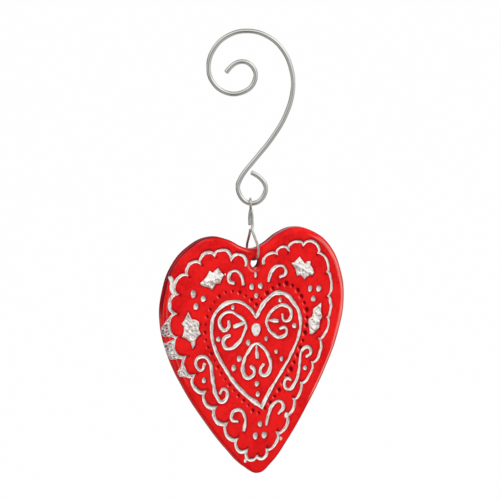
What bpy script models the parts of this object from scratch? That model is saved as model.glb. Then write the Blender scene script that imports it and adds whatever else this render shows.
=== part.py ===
"""Glass heart ornament: a red pressed-glass heart with silver inlays, a wire link and a scroll hook.

Units are metres, +Z is up. The origin is the point under the top of the hook's crook, where it rests
on a twig. The heart hangs in the XZ plane with its front towards -Y. Its pattern is drawn in
millimetres from the centre of the hanging hole, X to the right and Z up.
"""

import math

import bpy
import bmesh
from mathutils import Matrix, Vector
from mathutils.geometry import interpolate_bezier

MM = 0.001
CLEARANCE = 0.3 * MM          # left between pieces that touch on the real ornament

# Scroll hook, bent from one round wire
HOOK_WIRE = 1.8 * MM
HOOK_LENGTH = 63.2 * MM       # wire centre at the crook's top to wire centre at the lower loop's bottom
HOOK_TURN = math.radians(28)  # the hook's plane is turned this far about Z from the heart's
HOOK_STEP = 1.3 * MM

# Wire link between the hook's lower loop and the heart's hole
LINK_WIRE = 1.0 * MM
LINK_HEIGHT = 22.3 * MM       # wire centre at the top loop to wire centre in the hole
LINK_TOP_LOOP = 3.5 * MM      # width of the upper loop between wire centres
LINK_FRONT_ROOM = 2.5 * MM    # air between the glass and the lower loop's strand in front of it
LINK_BACK_ROOM = 1.4 * MM     # and the strand behind it
LINK_HALF_TURNS = -1          # that the two strands of the shank make round each other
LINK_TURN_PAUSE = 0.8         # how far the turning slows in the middle of the shank, 0 to 1
LINK_CUT_RISE = 0.2           # height of the first cut end as a share of the shank
LINK_STEP = 0.62 * MM

# Glass heart
HEART_WIDTH = 76.0 * MM
HEART_HEIGHT = 91.7 * MM
GLASS_THICKNESS = 4.4 * MM
GLASS_EDGE_RADIUS = 1.5 * MM
HOLE_DIAMETER = 4.4 * MM
HOLE_FLARE = 0.5 * MM
BEAD_DIAMETER = 1.6 * MM      # of each round hollow in the ring pressed round the inner heart
BEAD_DEPTH = 0.42 * MM
BEAD_PITCH = 2.95 * MM

# Silver inlays on the front face
INLAY_HEIGHT = 0.6 * MM
INLAY_DISH = 0.3 * MM         # how deep the hollow along the top of an inlay is
LINE_WIDTH = 1.2 * MM
BORDER_WIDTH = 1.3 * MM
INNER_HEART_WIDTH = 1.6 * MM
DOT_DIAMETER = 2.0 * MM
DISC_DIAMETER = 4.2 * MM
RIB_WIDTH = 1.1 * MM          # of the ridge along each holly leaf
RIB_HEIGHT = 0.35 * MM

# The heart's outline, right half from the cleft to the tip, in drawn millimetres from the hole
DRAWN_WIDTH = 76.0
DRAWN_HEIGHT = 91.7
HEART_SIDE = [(0, 5.3), (4.6, 6.6), (10.5, 9.9), (17.5, 11.5), (25.8, 8.8), (32.6, 2.6), (36.8, -7),
              (38, -17.5), (35.3, -30.5), (29, -44.5), (21.4, -57), (12.6, -69.3), (5.4, -77.2), (0, -80.2)]

# The hook in its own plane, millimetres right of and above the origin, from the inner free end
HOOK_ROUTE = [(-7.8, -13.9), (-5.2, -11.1), (-1.6, -10.0), (2.3, -12.7), (2.2, -17.9), (-2.0, -21.3),
              (-7.8, -21.4), (-13.0, -17.0), (-14.2, -12.2), (-11.7, -4.8), (-5.9, -0.2), (0.5, 0.9),
              (7.1, -1.0), (12.5, -5.8), (15.7, -13.2), (16.2, -20.5), (13.7, -29.3), (8.5, -38.0),
              (1.4, -46.6), (-3.2, -52.4), (-4.6, -56.9), (0.4, -62.3), (5.8, -57.3), (4.1, -53.1),
              (0.6, -50.7)]
HOOK_DRAWN_LENGTH = 63.2

# Scallops of the border: each cusp and the outward bulge of the arc that follows it
SCALLOPS = [(-4.1, -0.3, 2.9), (-9.9, 2.7, 2.6), (-16.7, 5.1, 2.3), (-22.5, 2.7, 2.5), (-28.0, -1.1, 3.0),
            (-32.2, -7.6, 2.6), (-33.2, -14.6, 3.0), (-32.8, -23.4, 2.9), (-29.7, -31.3, 2.6),
            (-26.3, -38.7, 2.4), (-22.1, -45.5, 2.3), (-18.0, -51.9, 2.4), (-13.6, -58.8, 2.3),
            (-9.2, -65.5, 2.3), (-5.3, -70.4, 2.4), (-0.9, -73.5, 2.0), (3.3, -71.3, 1.9),
            (7.9, -65.5, 2.1), (11.8, -59.4, 1.6), (15.1, -53.5, 1.6), (18.5, -47.8, 2.0),
            (23.3, -40.6, 2.7), (26.4, -31.8, 2.4), (30.1, -24.0, 1.7), (30.6, -15.9, 1.9),
            (30.4, -6.8, 2.3), (26.7, 0.9, 2.7), (20.4, 4.7, 2.5), (14.0, 3.1, 2.3), (8.9, 2.5, 1.8)]
BORDER_END = (4.1, -0.4)

INNER_HEART_LEFT = [(-0.1, -20.2), (-3.3, -15.9), (-9.4, -13.1), (-16.8, -16.4), (-18.6, -22.4),
                    (-17.4, -30.0), (-14.0, -37.0), (-9.2, -44.4), (-4.2, -49.9), (1.5, -54.6)]
INNER_HEART_RIGHT = [(1.5, -54.6), (4.3, -49.9), (9.3, -43.3), (14.4, -36.0), (17.8, -29.1),
                     (18.4, -22.6), (16.2, -17.2), (10.0, -12.1), (4.2, -14.4), (-0.1, -20.2)]

# Open strokes: each is a smooth line through its points
STROKES = {
    "silver_curl_left": [(-11.6, -20.3), (-11.5, -22.2), (-13.1, -23.4), (-14.9, -21.9), (-14.9, -18.6),
                         (-11.9, -16.7), (-7.6, -18.6), (-4.5, -22.5), (-5.3, -25.5), (-8.2, -29.3),
                         (-11.6, -30.6), (-13.8, -28.7), (-13.4, -26.3), (-11.4, -25.6)],
    "silver_curl_right": [(10.9, -20.6), (11.7, -22.9), (13.6, -23.0), (14.6, -20.2), (12.7, -17.4),
                          (8.8, -17.2), (6.0, -19.2), (4.2, -22.5), (5.1, -25.3), (7.2, -27.7),
                          (10.3, -29.0), (12.6, -27.5), (12.0, -25.5), (10.0, -25.7)],
    "silver_lyre": [(-2.6, -38.5), (-1.3, -40.2), (-2.0, -42.1), (-4.4, -42.6), (-6.1, -39.2), (-5.5, -35.5),
                    (-3.3, -32.3), (-0.2, -30.1), (2.5, -31.9), (4.9, -35.9), (5.5, -39.6), (3.9, -42.5),
                    (1.8, -42.3), (1.2, -40.2), (2.4, -38.5)],
    "silver_scroll_left": [(-21.8, -35.0), (-23.1, -37.0), (-25.0, -35.6), (-25.1, -32.8), (-22.6, -32.0),
                           (-19.6, -34.9), (-19.0, -39.0), (-18.3, -43.9), (-17.2, -48.0), (-14.8, -50.2),
                           (-12.7, -47.6), (-14.4, -45.4), (-15.8, -46.8)],
    "silver_scroll_right": [(21.0, -37.8), (22.6, -36.9), (22.3, -34.8), (20.5, -34.3), (18.6, -36.2),
                            (18.0, -39.3), (17.5, -42.9), (16.0, -47.1), (13.0, -49.4), (11.3, -46.9),
                            (12.8, -45.2), (14.2, -46.2)],
    "silver_cane_upper_left": [(-5.1, -7.1), (-6.0, -3.6), (-8.4, -1.7), (-10.9, -3.0), (-10.8, -5.3),
                               (-9.2, -6.2)],
    "silver_cane_upper_right": [(5.4, -7.2), (6.9, -3.5), (9.8, -1.9), (12.3, -3.0), (12.4, -5.4),
                                (10.4, -6.2)],
    "silver_cane_lower_left": [(-6.2, -62.5), (-5.7, -57.5), (-8.0, -54.3), (-11.0, -55.2), (-10.9, -57.9),
                               (-8.8, -58.6)],
    "silver_cane_lower_right": [(3.2, -61.6), (4.4, -57.4), (6.5, -54.2), (9.5, -53.6), (10.6, -56.0),
                                (8.6, -58.2)],
    "silver_bar_left": [(-6.1, -22.3), (-9.5, -22.6)],
    "silver_bar_right": [(5.7, -22.3), (9.4, -22.7)],
    "silver_lyre_drop": [(-0.2, -32.0), (-0.2, -35.6)],
    "silver_drop": [(0.0, -3.6), (0.0, -5.4)],
}

# Holly leaves: outline points with the lobed tips between the hollows
LEAVES = {
    "holly_leaf_upper_left": [(-22.7, -4.7), (-19.4, -0.9), (-17.6, -1.6), (-15.3, 0.2), (-14.0, -2.4),
                              (-14.3, -5.2), (-16.7, -5.5), (-18.0, -7.5), (-19.9, -6.3)],
    "holly_leaf_upper_right": [(15.3, -1.4), (18.6, 0.0), (20.8, -1.9), (23.2, -1.5), (23.0, -3.8),
                               (24.7, -6.2), (22.3, -6.4), (20.6, -8.5), (18.9, -6.7), (16.8, -6.9),
                               (16.8, -4.0)],
    "holly_leaf_lower_left": [(-28.0, -15.0), (-24.9, -17.4), (-23.7, -18.9), (-24.3, -21.5), (-22.9, -23.7),
                              (-25.1, -25.3), (-26.6, -28.5), (-27.6, -25.7), (-30.5, -23.8),
                              (-29.5, -21.5), (-30.7, -18.6), (-29.0, -17.0)],
    "holly_leaf_lower_right": [(27.5, -18.3), (25.0, -19.2), (22.6, -22.2), (22.2, -25.8), (22.9, -29.5),
                               (25.6, -28.2), (27.6, -25.0), (27.9, -21.6)],
}

# The ridge of each leaf, from its stem to its tip
RIBS = {
    "holly_leaf_upper_left": [(-21.9, -4.5), (-18.2, -3.7), (-14.9, -3.4)],
    "holly_leaf_upper_right": [(16.1, -1.9), (20.1, -3.9), (23.7, -5.5)],
    "holly_leaf_lower_left": [(-27.3, -16.0), (-27.0, -21.5), (-26.7, -27.4)],
    "holly_leaf_lower_right": [(26.6, -19.6), (25.2, -23.9), (23.6, -28.2)],
}

DOTS = [(-25.7, -8.3), (-21.7, -10.5), (-24.8, -13.0), (-1.7, -8.5), (1.9, -8.6), (0.1, -12.0),
        (22.9, -12.1), (26.6, -12.6), (24.2, -16.2), (-9.7, -15.2), (-16.0, -26.4), (-3.7, -29.3),
        (3.9, -28.8), (-7.5, -34.9), (-9.9, -38.1), (10.1, -14.9), (15.9, -25.4), (8.0, -34.3),
        (10.2, -37.3), (-0.4, -45.4), (-0.1, -49.4), (-22.3, -41.0), (20.2, -42.2), (0.6, -61.0),
        (-1.5, -65.3), (2.3, -65.5)]
DISC_PLACE = (-0.3, -24.8)

# The ring of pressed hollows outside the inner heart, a closed line from the cleft
BEAD_ROUTE = [(-0.1, -15.6), (-4.3, -11.7), (-9.4, -9.4), (-14.6, -10.1), (-18.6, -14.1), (-21.2, -20.4),
              (-21.1, -26.8), (-18.4, -33.2), (-15.3, -39.4), (-9.5, -47.6), (-4.4, -53.0), (-0.6, -56.8),
              (3.0, -55.2), (7.2, -51.0), (12.6, -43.8), (16.7, -37.0), (20.0, -29.4), (21.1, -21.6),
              (19.2, -15.4), (14.6, -9.9), (9.6, -9.3), (4.4, -11.8), (-0.1, -15.6)]

HOOK_SCALE = HOOK_LENGTH / HOOK_DRAWN_LENGTH
HOOK_LOOP_Z = HOOK_WIRE / 2 - HOOK_LENGTH
LINK_TOP_Z = HOOK_LOOP_Z + HOOK_WIRE / 2 + CLEARANCE + LINK_WIRE / 2
PIVOT_Z = LINK_TOP_Z - LINK_HEIGHT
HOLE_Z = PIVOT_Z + LINK_WIRE / 2 + CLEARANCE - HOLE_DIAMETER / 2
FRONT_Y = -GLASS_THICKNESS / 2


def clear_scene():
    for obj in list(bpy.data.objects):
        bpy.data.objects.remove(obj, do_unlink=True)


def new_collection(name, hidden=False):
    collection = bpy.data.collections.new(name)
    collection.hide_render = hidden
    bpy.context.scene.collection.children.link(collection)
    return collection


def material(name, colour, roughness, metallic=0.0, transmission=0.0):
    made = bpy.data.materials.new(name)
    made.use_nodes = True
    made.diffuse_color = (*colour, 1)
    shader = made.node_tree.nodes["Principled BSDF"]
    shader.inputs["Base Color"].default_value = (*colour, 1)
    shader.inputs["Roughness"].default_value = roughness
    shader.inputs["Metallic"].default_value = metallic
    shader.inputs["Transmission Weight"].default_value = transmission
    return made


def smooth(points, per_span=6):
    """Samples a round line through the points, each with a handle along its neighbours' bisector."""
    handle_share = 1 / 2.5614  # of a span's length: four such points then lie on a circle
    places = [Vector((*p, 0)[:3]) for p in points]
    tangents = []
    for i, place in enumerate(places):
        before = (place - places[max(i - 1, 0)]).normalized()
        after = (places[min(i + 1, len(places) - 1)] - place).normalized()
        tangents.append((before + after).normalized())
    line = [places[0]]
    for i in range(len(places) - 1):
        reach = (places[i + 1] - places[i]).length * handle_share
        handle_a = places[i] + tangents[i] * reach
        handle_b = places[i + 1] - tangents[i + 1] * reach
        line += interpolate_bezier(places[i], handle_a, handle_b, places[i + 1], per_span + 1)[1:]
    return line


def respaced(line, step):
    """The line's points again, an even step apart."""
    lengths = [0.0]
    for a, b in zip(line, line[1:]):
        lengths.append(lengths[-1] + (b - a).length)
    count = max(2, round(lengths[-1] / step))
    points = []
    index = 0
    for k in range(count + 1):
        target = lengths[-1] * k / count
        while index < len(line) - 2 and lengths[index + 1] < target:
            index += 1
        share = (target - lengths[index]) / (lengths[index + 1] - lengths[index])
        points.append(line[index].lerp(line[index + 1], share))
    return points


def poly_curve(name, points, collection, cyclic=False, radii=None):
    curve = bpy.data.curves.new(name, "CURVE")
    curve.dimensions = "3D"
    spline = curve.splines.new("POLY")
    spline.points.add(len(points) - 1)
    for i, place in enumerate(points):
        spline.points[i].co = (*place, 1)
        spline.points[i].radius = radii[i] if radii else 1.0
    spline.use_cyclic_u = cyclic
    obj = bpy.data.objects.new(name, curve)
    collection.objects.link(obj)
    return obj


def wire(name, points, diameter, collection, look):
    obj = poly_curve(name, points, collection)
    obj.data.bevel_depth = diameter / 2
    obj.data.bevel_resolution = 2
    obj.data.use_fill_caps = True
    obj.data.materials.append(look)
    return obj


def on_heart(x, z):
    """A drawn point of the heart's pattern in metres from the hole's centre."""
    return Vector((x * HEART_WIDTH / DRAWN_WIDTH, z * HEART_HEIGHT / DRAWN_HEIGHT, 0))


def heart_outline():
    per_span = 5
    over_cleft, over_tip = [(-x, z) for x, z in (HEART_SIDE[1], HEART_SIDE[-2])]
    side = smooth([over_cleft] + HEART_SIDE + [over_tip], per_span)
    right = side[per_span:len(side) - per_span]
    left = [Vector((-p.x, p.y, 0)) for p in reversed(right[1:-1])]
    return [on_heart(p.x, p.y) for p in right + left]


def hook_points():
    line = respaced([p * HOOK_SCALE for p in smooth(HOOK_ROUTE, 12)], HOOK_STEP)
    lift = HOOK_LOOP_Z - min(p.y for p in line)
    across = Vector((math.cos(HOOK_TURN), -math.sin(HOOK_TURN), 0))
    return [across * p.x + Vector((0, 0, p.y + lift)) for p in line]


def build_hook(collection, look):
    return wire("scroll_hook", hook_points(), HOOK_WIRE, collection, look)


def link_points():
    """The link's one wire: cut end, twisted shank, upper loop, shank again, lower loop, cut end."""
    strand = (LINK_WIRE + 1.3 * CLEARANCE) / 2
    top = LINK_TOP_Z
    neck = top - 1.1 * LINK_TOP_LOOP
    foot = top - 0.5 * LINK_HEIGHT
    front = GLASS_THICKNESS / 2 + LINK_FRONT_ROOM + LINK_WIRE / 2
    back = GLASS_THICKNESS / 2 + LINK_BACK_ROOM + LINK_WIRE / 2
    swap = math.cos(math.pi * LINK_HALF_TURNS)    # -1 where the strands change sides on the way up

    def at(offset, z, turn):
        return Vector((offset * math.sin(turn), offset * math.cos(turn), z))

    def shank(offset, start, end, count):
        points = []
        for k in range(count + 1):
            z = start + (end - start) * k / count
            rise = (z - foot) / (neck - foot)
            eased = rise + LINK_TURN_PAUSE * math.sin(2 * math.pi * rise) / (2 * math.pi)
            points.append(at(offset, z, eased * (HOOK_TURN + math.pi * LINK_HALF_TURNS)))
        return points

    up = shank(strand, foot + LINK_CUT_RISE * (neck - foot), neck, 14)
    loop = [at(swap * q * LINK_TOP_LOOP / 2, top - d * LINK_TOP_LOOP, HOOK_TURN)
            for q, d in ((0.75, 0.82), (1.0, 0.5), (0.72, 0.12), (0, 0), (-0.72, 0.12), (-1.0, 0.5),
                         (-0.75, 0.82))]
    down = shank(-strand, neck, foot, 18)
    drop = foot - PIVOT_Z
    lower = [at(-q * front, foot - d * drop, 0)
             for q, d in ((0.34, 0.12), (0.76, 0.32), (1.0, 0.58), (1.0, 0.74), (0.86, 0.87))]
    lower += [at(-GLASS_THICKNESS * 0.42, PIVOT_Z, 0), at(GLASS_THICKNESS * 0.42, PIVOT_Z, 0)]
    lower += [at(q * back, foot - d * drop, 0)
              for q, d in ((0.86, 0.91), (1.0, 0.76), (1.0, 0.52), (0.88, 0.3), (0.45, 0.12))]
    lower += [at(strand * 1.15, foot - 0.03 * drop, 0)]
    return respaced(smooth(up + loop + down + lower, 4), LINK_STEP)


def build_link(collection, look):
    return wire("wire_link", link_points(), LINK_WIRE, collection, look)


def hole_cutter(collection):
    """A turned cutter with a rounded flare at each face of the glass."""
    radius = HOLE_DIAMETER / 2
    half = GLASS_THICKNESS / 2
    profile = [(0, half + HOLE_FLARE), (radius + 2 * HOLE_FLARE, half + HOLE_FLARE)]
    for k in range(4):
        turn = math.pi / 2 * k / 3
        profile.append((radius + HOLE_FLARE * (1 - math.sin(turn)), half - HOLE_FLARE * (1 - math.cos(turn))))
    profile += [(x, -y) for x, y in reversed(profile)]
    mesh = bpy.data.meshes.new("hole_cutter")
    shape = bmesh.new()
    ring = [shape.verts.new((x, 0, y)) for x, y in profile]
    for a, b in zip(ring, ring[1:]):
        shape.edges.new((a, b))
    shape.to_mesh(mesh)
    shape.free()
    cutter = bpy.data.objects.new("hole_cutter", mesh)
    turned = cutter.modifiers.new("turn", "SCREW")
    turned.steps = turned.render_steps = 24
    turned.use_merge_vertices = True
    turned.merge_threshold = 0.00001
    cutter.rotation_euler = (math.pi / 2, 0, 0)
    cutter.location = (0, 0, HOLE_Z)
    cutter.hide_render = True
    cutter.display_type = "WIRE"
    collection.objects.link(cutter)
    return cutter


def bead_cutter(collection):
    """Small balls that stand out of the front face as far as each hollow is pressed into it."""
    ball = (BEAD_DIAMETER ** 2 / 4 + BEAD_DEPTH ** 2) / (2 * BEAD_DEPTH)
    level = GLASS_THICKNESS / 2 + ball - BEAD_DEPTH
    mesh = bpy.data.meshes.new("bead_cutter")
    shape = bmesh.new()
    for place in respaced([on_heart(p.x, p.y) for p in smooth(BEAD_ROUTE)], BEAD_PITCH)[:-1]:
        bmesh.ops.create_uvsphere(shape, u_segments=8, v_segments=6, radius=ball,
                                  matrix=Matrix.Translation((place.x, place.y, level)))
    shape.to_mesh(mesh)
    shape.free()
    cutter = bpy.data.objects.new("bead_cutter", mesh)
    cutter.hide_render = True
    cutter.display_type = "WIRE"
    collection.objects.link(cutter)
    return stand_on_heart(cutter)


def welded_mesh(name, guide, collection):
    """A curve's shape as a mesh object in the curve's place, its caps welded; the curve is removed."""
    bpy.context.view_layer.update()
    graph = bpy.context.evaluated_depsgraph_get()
    mesh = bpy.data.meshes.new_from_object(guide.evaluated_get(graph))
    mesh.name = name
    weld = bmesh.new()
    weld.from_mesh(mesh)
    bmesh.ops.remove_doubles(weld, verts=weld.verts, dist=0.00001)
    bmesh.ops.recalc_face_normals(weld, faces=weld.faces)
    weld.to_mesh(mesh)
    weld.free()
    obj = bpy.data.objects.new(name, mesh)
    obj.matrix_world = guide.matrix_world
    bpy.data.objects.remove(guide, do_unlink=True)
    collection.objects.link(obj)
    return obj


def combined(obj, name, other, operation="DIFFERENCE"):
    change = obj.modifiers.new(name, "BOOLEAN")
    change.object = other
    change.operation = operation


def build_heart(collection, cutters, look):
    """The heart's outline, extruded with rounded edges, with its hanging hole and its ring of hollows."""
    curve = bpy.data.curves.new("heart_outline", "CURVE")
    curve.dimensions = "2D"
    curve.fill_mode = "BOTH"
    curve.extrude = GLASS_THICKNESS / 2 - GLASS_EDGE_RADIUS
    curve.bevel_depth = GLASS_EDGE_RADIUS
    curve.bevel_resolution = 2
    curve.offset = -GLASS_EDGE_RADIUS
    outline = heart_outline()
    spline = curve.splines.new("POLY")
    spline.points.add(len(outline) - 1)
    for point, place in zip(spline.points, outline):
        point.co = (*place, 1)
    spline.use_cyclic_u = True
    guide = bpy.data.objects.new("heart_outline", curve)
    cutters.objects.link(guide)
    guide.rotation_euler = (math.pi / 2, 0, 0)
    guide.location = (0, 0, HOLE_Z)
    heart = welded_mesh("glass_heart", guide, collection)
    heart.data.materials.clear()
    heart.data.materials.append(look)
    combined(heart, "hanging_hole", hole_cutter(cutters))
    combined(heart, "pressed_hollows", bead_cutter(cutters))
    heart.data.shade_smooth()
    heart.data.set_sharp_from_angle(angle=math.radians(35))
    return heart


def edge_distance(place, outline):
    """How far a point of the pattern lies inside the heart's outline."""
    nearest = 1.0
    for a, b in zip(outline, outline[1:] + outline[:1]):
        span = b - a
        share = min(1.0, max(0.0, (place - a).dot(span) / span.length_squared))
        nearest = min(nearest, (place - a - span * share).length)
    return nearest


def seated(points, outline):
    """The drawn points on the glass: their depth follows the front face and its rounded edge."""
    places = []
    for x, z in points:
        place = on_heart(x, z)
        past_flat = min(GLASS_EDGE_RADIUS, max(0.0, GLASS_EDGE_RADIUS - edge_distance(place, outline)))
        drop = GLASS_EDGE_RADIUS - math.sqrt(GLASS_EDGE_RADIUS ** 2 - past_flat ** 2)
        place.z = GLASS_THICKNESS / 2 + CLEARANCE - drop
        places.append(place)
    return places


def strip_profile(name, width, guides):
    """Section of an inlay strip: flat under, with a shallow hollow along its top."""
    half = width / 2
    low = INLAY_HEIGHT - INLAY_DISH
    section = [(half, 0), (-half, 0), (-0.78 * half, INLAY_HEIGHT), (-0.3 * half, low), (0.3 * half, low),
               (0.78 * half, INLAY_HEIGHT)]
    profile = poly_curve(name, [(x, y, 0) for x, y in section], guides, cyclic=True)
    profile.hide_render = True
    profile.display_type = "WIRE"
    return profile


def stand_on_heart(obj):
    obj.rotation_euler = (math.pi / 2, 0, 0)
    obj.location = (0, 0, HOLE_Z)
    return obj


def strip(name, points, profile, collection, look, outline, cyclic=False, radii=None):
    obj = poly_curve(name, seated(points, outline), collection, cyclic, radii)
    obj.data.twist_mode = "Z_UP"
    obj.data.bevel_mode = "OBJECT"
    obj.data.bevel_object = profile
    obj.data.use_fill_caps = not cyclic
    obj.data.materials.append(look)
    return stand_on_heart(obj)


def tapered(count, end_share=0.7, reach=0.18):
    """Radii along a stroke: full in the middle, drawn in towards both ends."""
    radii = []
    for k in range(count):
        share = min(k, count - 1 - k) / (count - 1)
        radii.append(end_share + (1 - end_share) * min(1.0, share / reach))
    return radii


def scallop_points():
    """Arcs from cusp to cusp, each bulging outwards, away from the middle of the heart."""
    stops = [Vector((x, z, 0)) for x, z, bulge in SCALLOPS] + [Vector((*BORDER_END, 0))]
    points = [stops[0]]
    for (x, z, bulge), a, b in zip(SCALLOPS, stops, stops[1:]):
        out = Vector((b.y - a.y, a.x - b.x, 0)).normalized()
        for share in (0.1, 0.35, 0.65, 0.9, 1.0):
            rise = bulge * math.sqrt(1 - (2 * share - 1) ** 2)
            points.append(a.lerp(b, share) + out * rise)
    return [(p.x, p.y) for p in points]


def build_border(collection, guides, look, outline):
    profile = strip_profile("border_section", BORDER_WIDTH, guides)
    return strip("silver_border", scallop_points(), profile, collection, look, outline)


def build_inner_heart(collection, guides, look, outline):
    profile = strip_profile("inner_heart_section", INNER_HEART_WIDTH, guides)
    left = smooth(INNER_HEART_LEFT, 3)
    right = smooth(INNER_HEART_RIGHT, 3)
    points = [(p.x, p.y) for p in left[:-1] + right[:-1]]
    return strip("silver_inner_heart", points, profile, collection, look, outline, cyclic=True)


def build_strokes(collection, guides, look, outline):
    profile = strip_profile("line_section", LINE_WIDTH, guides)
    for name, route in STROKES.items():
        points = [(p.x, p.y) for p in smooth(route, 3)]
        if len(route) == 2:
            radii = [0.5, 1.05, 1.25, 0.9] if name.endswith("drop") else [1.2, 1.05, 0.8, 0.55]
        else:
            radii = tapered(len(points))
        strip(name, points, profile, collection, look, outline, radii=radii)


def dished_disc(name, place, diameter, collection, look, outline, steps=12):
    radius = diameter / 2
    mesh = bpy.data.meshes.new(name)
    shape = bmesh.new()
    section = [(0, INLAY_HEIGHT - INLAY_DISH), (0.72 * radius, INLAY_HEIGHT), (radius, 0.0), (0, 0.0)]
    ring = [shape.verts.new((x, 0, z)) for x, z in section]
    for a, b in zip(ring, ring[1:]):
        shape.edges.new((a, b))
    shape.to_mesh(mesh)
    shape.free()
    obj = bpy.data.objects.new(name, mesh)
    collection.objects.link(obj)
    turned = obj.modifiers.new("turn", "SCREW")
    turned.steps = turned.render_steps = steps
    turned.use_merge_vertices = True
    turned.merge_threshold = 0.00001
    seat = seated([place], outline)[0]
    obj.rotation_euler = (math.pi / 2, 0, 0)
    obj.location = (seat.x, -seat.z, HOLE_Z + seat.y)
    mesh.materials.append(look)
    return obj


def build_dots(collection, look, outline):
    for number, place in enumerate(DOTS, start=1):
        dished_disc(f"silver_dot_{number:02d}", place, DOT_DIAMETER, collection, look, outline)
    dished_disc("silver_centre_disc", DISC_PLACE, DISC_DIAMETER, collection, look, outline, 20)


def leaf_rib(name, guides):
    """A three-sided ridge along the leaf, widest in its middle, that starts inside the leaf's plate."""
    half = RIB_WIDTH / 2
    section = [(half, INLAY_HEIGHT / 2, 0), (-half, INLAY_HEIGHT / 2, 0), (0, INLAY_HEIGHT + RIB_HEIGHT, 0)]
    profile = poly_curve(name + "_rib_section", section, guides, cyclic=True)
    line = [on_heart(x, z) for x, z in RIBS[name]]
    rib = poly_curve(name + "_rib", line, guides, radii=[0.65, 1.0, 0.65])
    rib.data.twist_mode = "Z_UP"
    rib.data.bevel_mode = "OBJECT"
    rib.data.bevel_object = profile
    rib.data.use_fill_caps = True
    stand_on_heart(rib)
    rib.location.y = FRONT_Y - CLEARANCE
    made = welded_mesh(name + "_ridge", rib, guides)
    for guide in (made, profile):
        guide.hide_render = True
        guide.display_type = "WIRE"
    return made


def build_leaves(collection, guides, look):
    for name, outline in LEAVES.items():
        curve = bpy.data.curves.new(name, "CURVE")
        curve.dimensions = "2D"
        curve.fill_mode = "BOTH"
        curve.extrude = INLAY_HEIGHT / 2
        spline = curve.splines.new("POLY")
        spline.points.add(len(outline) - 1)
        for point, (x, z) in zip(spline.points, outline):
            point.co = (*on_heart(x, z), 1)
        spline.use_cyclic_u = True
        plate = bpy.data.objects.new(name + "_outline", curve)
        guides.objects.link(plate)
        stand_on_heart(plate)
        plate.location.y = FRONT_Y - CLEARANCE - INLAY_HEIGHT / 2
        leaf = welded_mesh(name, plate, collection)
        leaf.data.materials.append(look)
        combined(leaf, "ridge", leaf_rib(name, guides), "UNION")


def main():
    clear_scene()
    parts = new_collection("glass_heart_ornament")
    guides = new_collection("guides_and_cutters", hidden=True)
    steel = material("bright_steel_wire", (0.62, 0.6, 0.56), 0.22, metallic=1.0)
    link_steel = material("link_wire", (0.5, 0.5, 0.5), 0.28, metallic=1.0)
    red_glass = material("red_glass", (0.72, 0.012, 0.014), 0.08, transmission=0.1)
    silver = material("silver_inlay", (0.82, 0.8, 0.76), 0.3, metallic=0.6)
    outline = heart_outline()
    build_hook(parts, steel)
    build_link(parts, link_steel)
    build_heart(parts, guides, red_glass)
    build_border(parts, guides, silver, outline)
    build_inner_heart(parts, guides, silver, outline)
    build_strokes(parts, guides, silver, outline)
    build_dots(parts, silver, outline)
    build_leaves(parts, guides, silver)


main()
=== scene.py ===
import math

import bmesh
import bpy
import numpy as np
from mathutils import Matrix, Vector, kdtree, noise
from mathutils.geometry import delaunay_2d_cdt, interpolate_bezier


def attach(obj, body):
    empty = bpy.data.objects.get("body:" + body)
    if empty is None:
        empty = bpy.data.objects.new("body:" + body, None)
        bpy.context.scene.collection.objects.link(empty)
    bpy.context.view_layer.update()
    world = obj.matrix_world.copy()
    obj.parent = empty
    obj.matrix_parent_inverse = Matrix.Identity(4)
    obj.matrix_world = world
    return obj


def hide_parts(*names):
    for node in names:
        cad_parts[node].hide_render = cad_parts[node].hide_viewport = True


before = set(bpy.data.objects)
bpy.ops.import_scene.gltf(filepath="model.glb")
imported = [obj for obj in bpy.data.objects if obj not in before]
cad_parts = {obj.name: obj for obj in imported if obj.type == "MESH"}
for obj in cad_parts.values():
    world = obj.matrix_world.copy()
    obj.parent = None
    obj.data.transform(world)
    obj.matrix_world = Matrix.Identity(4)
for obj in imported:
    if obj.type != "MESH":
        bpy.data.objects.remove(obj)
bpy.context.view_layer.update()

mm = 0.001

# Where the ornament hangs: heights in millimetres under the hook's resting point
hang = {
    "hookTurn": 28.0,      # degrees that the hook's plane is turned about Z
    "loopZ": -62.3,        # wire centre at the bottom of the hook's lower loop
    "linkTopZ": -60.6,     # wire centre at the link's top
    "pivotZ": -82.9,       # wire centre in the heart's hole
    "holeZ": -84.3,        # centre of the heart's hole
}


# Small helpers

def clamped(value, high=1.0):
    return max(0.0, min(high, value))


def fading(gap, reach):
    # 1 where there is no gap, down to 0 at the reach
    return max(0.0, 1 - gap / reach)


def drifting(place):
    # smooth noise from -1 to 1, the same in each run
    return noise.noise(place)


def units(ways):
    return ways / np.linalg.norm(ways, axis=1)[:, None]


def treeOf(places):
    tree = kdtree.KDTree(len(places))
    for i, (x, z) in enumerate(places):
        tree.insert((x, z, 0), i)
    tree.balance()
    return tree


# Lines

def smoothLine(points, perSpan):
    # a round line through the points, each handle along its neighbours' bisector
    spanPerHandle = 2.5614    # as Blender's own automatic handles have it
    places = [Vector((*p, 0)[:3]) for p in points]
    ways = []
    for i, place in enumerate(places):
        before = (place - places[max(i - 1, 0)]).normalized()
        after = (places[min(i + 1, len(places) - 1)] - place).normalized()
        ways.append((before + after).normalized())
    line = [places[0]]
    for i in range(len(places) - 1):
        reach = (places[i + 1] - places[i]).length / spanPerHandle
        a = places[i] + ways[i] * reach
        b = places[i + 1] - ways[i + 1] * reach
        line += interpolate_bezier(places[i], a, b, places[i + 1], perSpan + 1)[1:]
    return np.array([tuple(p) for p in line])


def runAlong(line):
    return np.concatenate([[0], np.cumsum(np.linalg.norm(np.diff(line, axis=0), axis=1))])


def evenLine(line, step):
    run = runAlong(line)
    count = max(2, int(round(run[-1] / step)))
    stops = np.linspace(0, run[-1], count + 1)
    return np.stack([np.interp(stops, run, line[:, k]) for k in range(line.shape[1])], axis=1)


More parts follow.
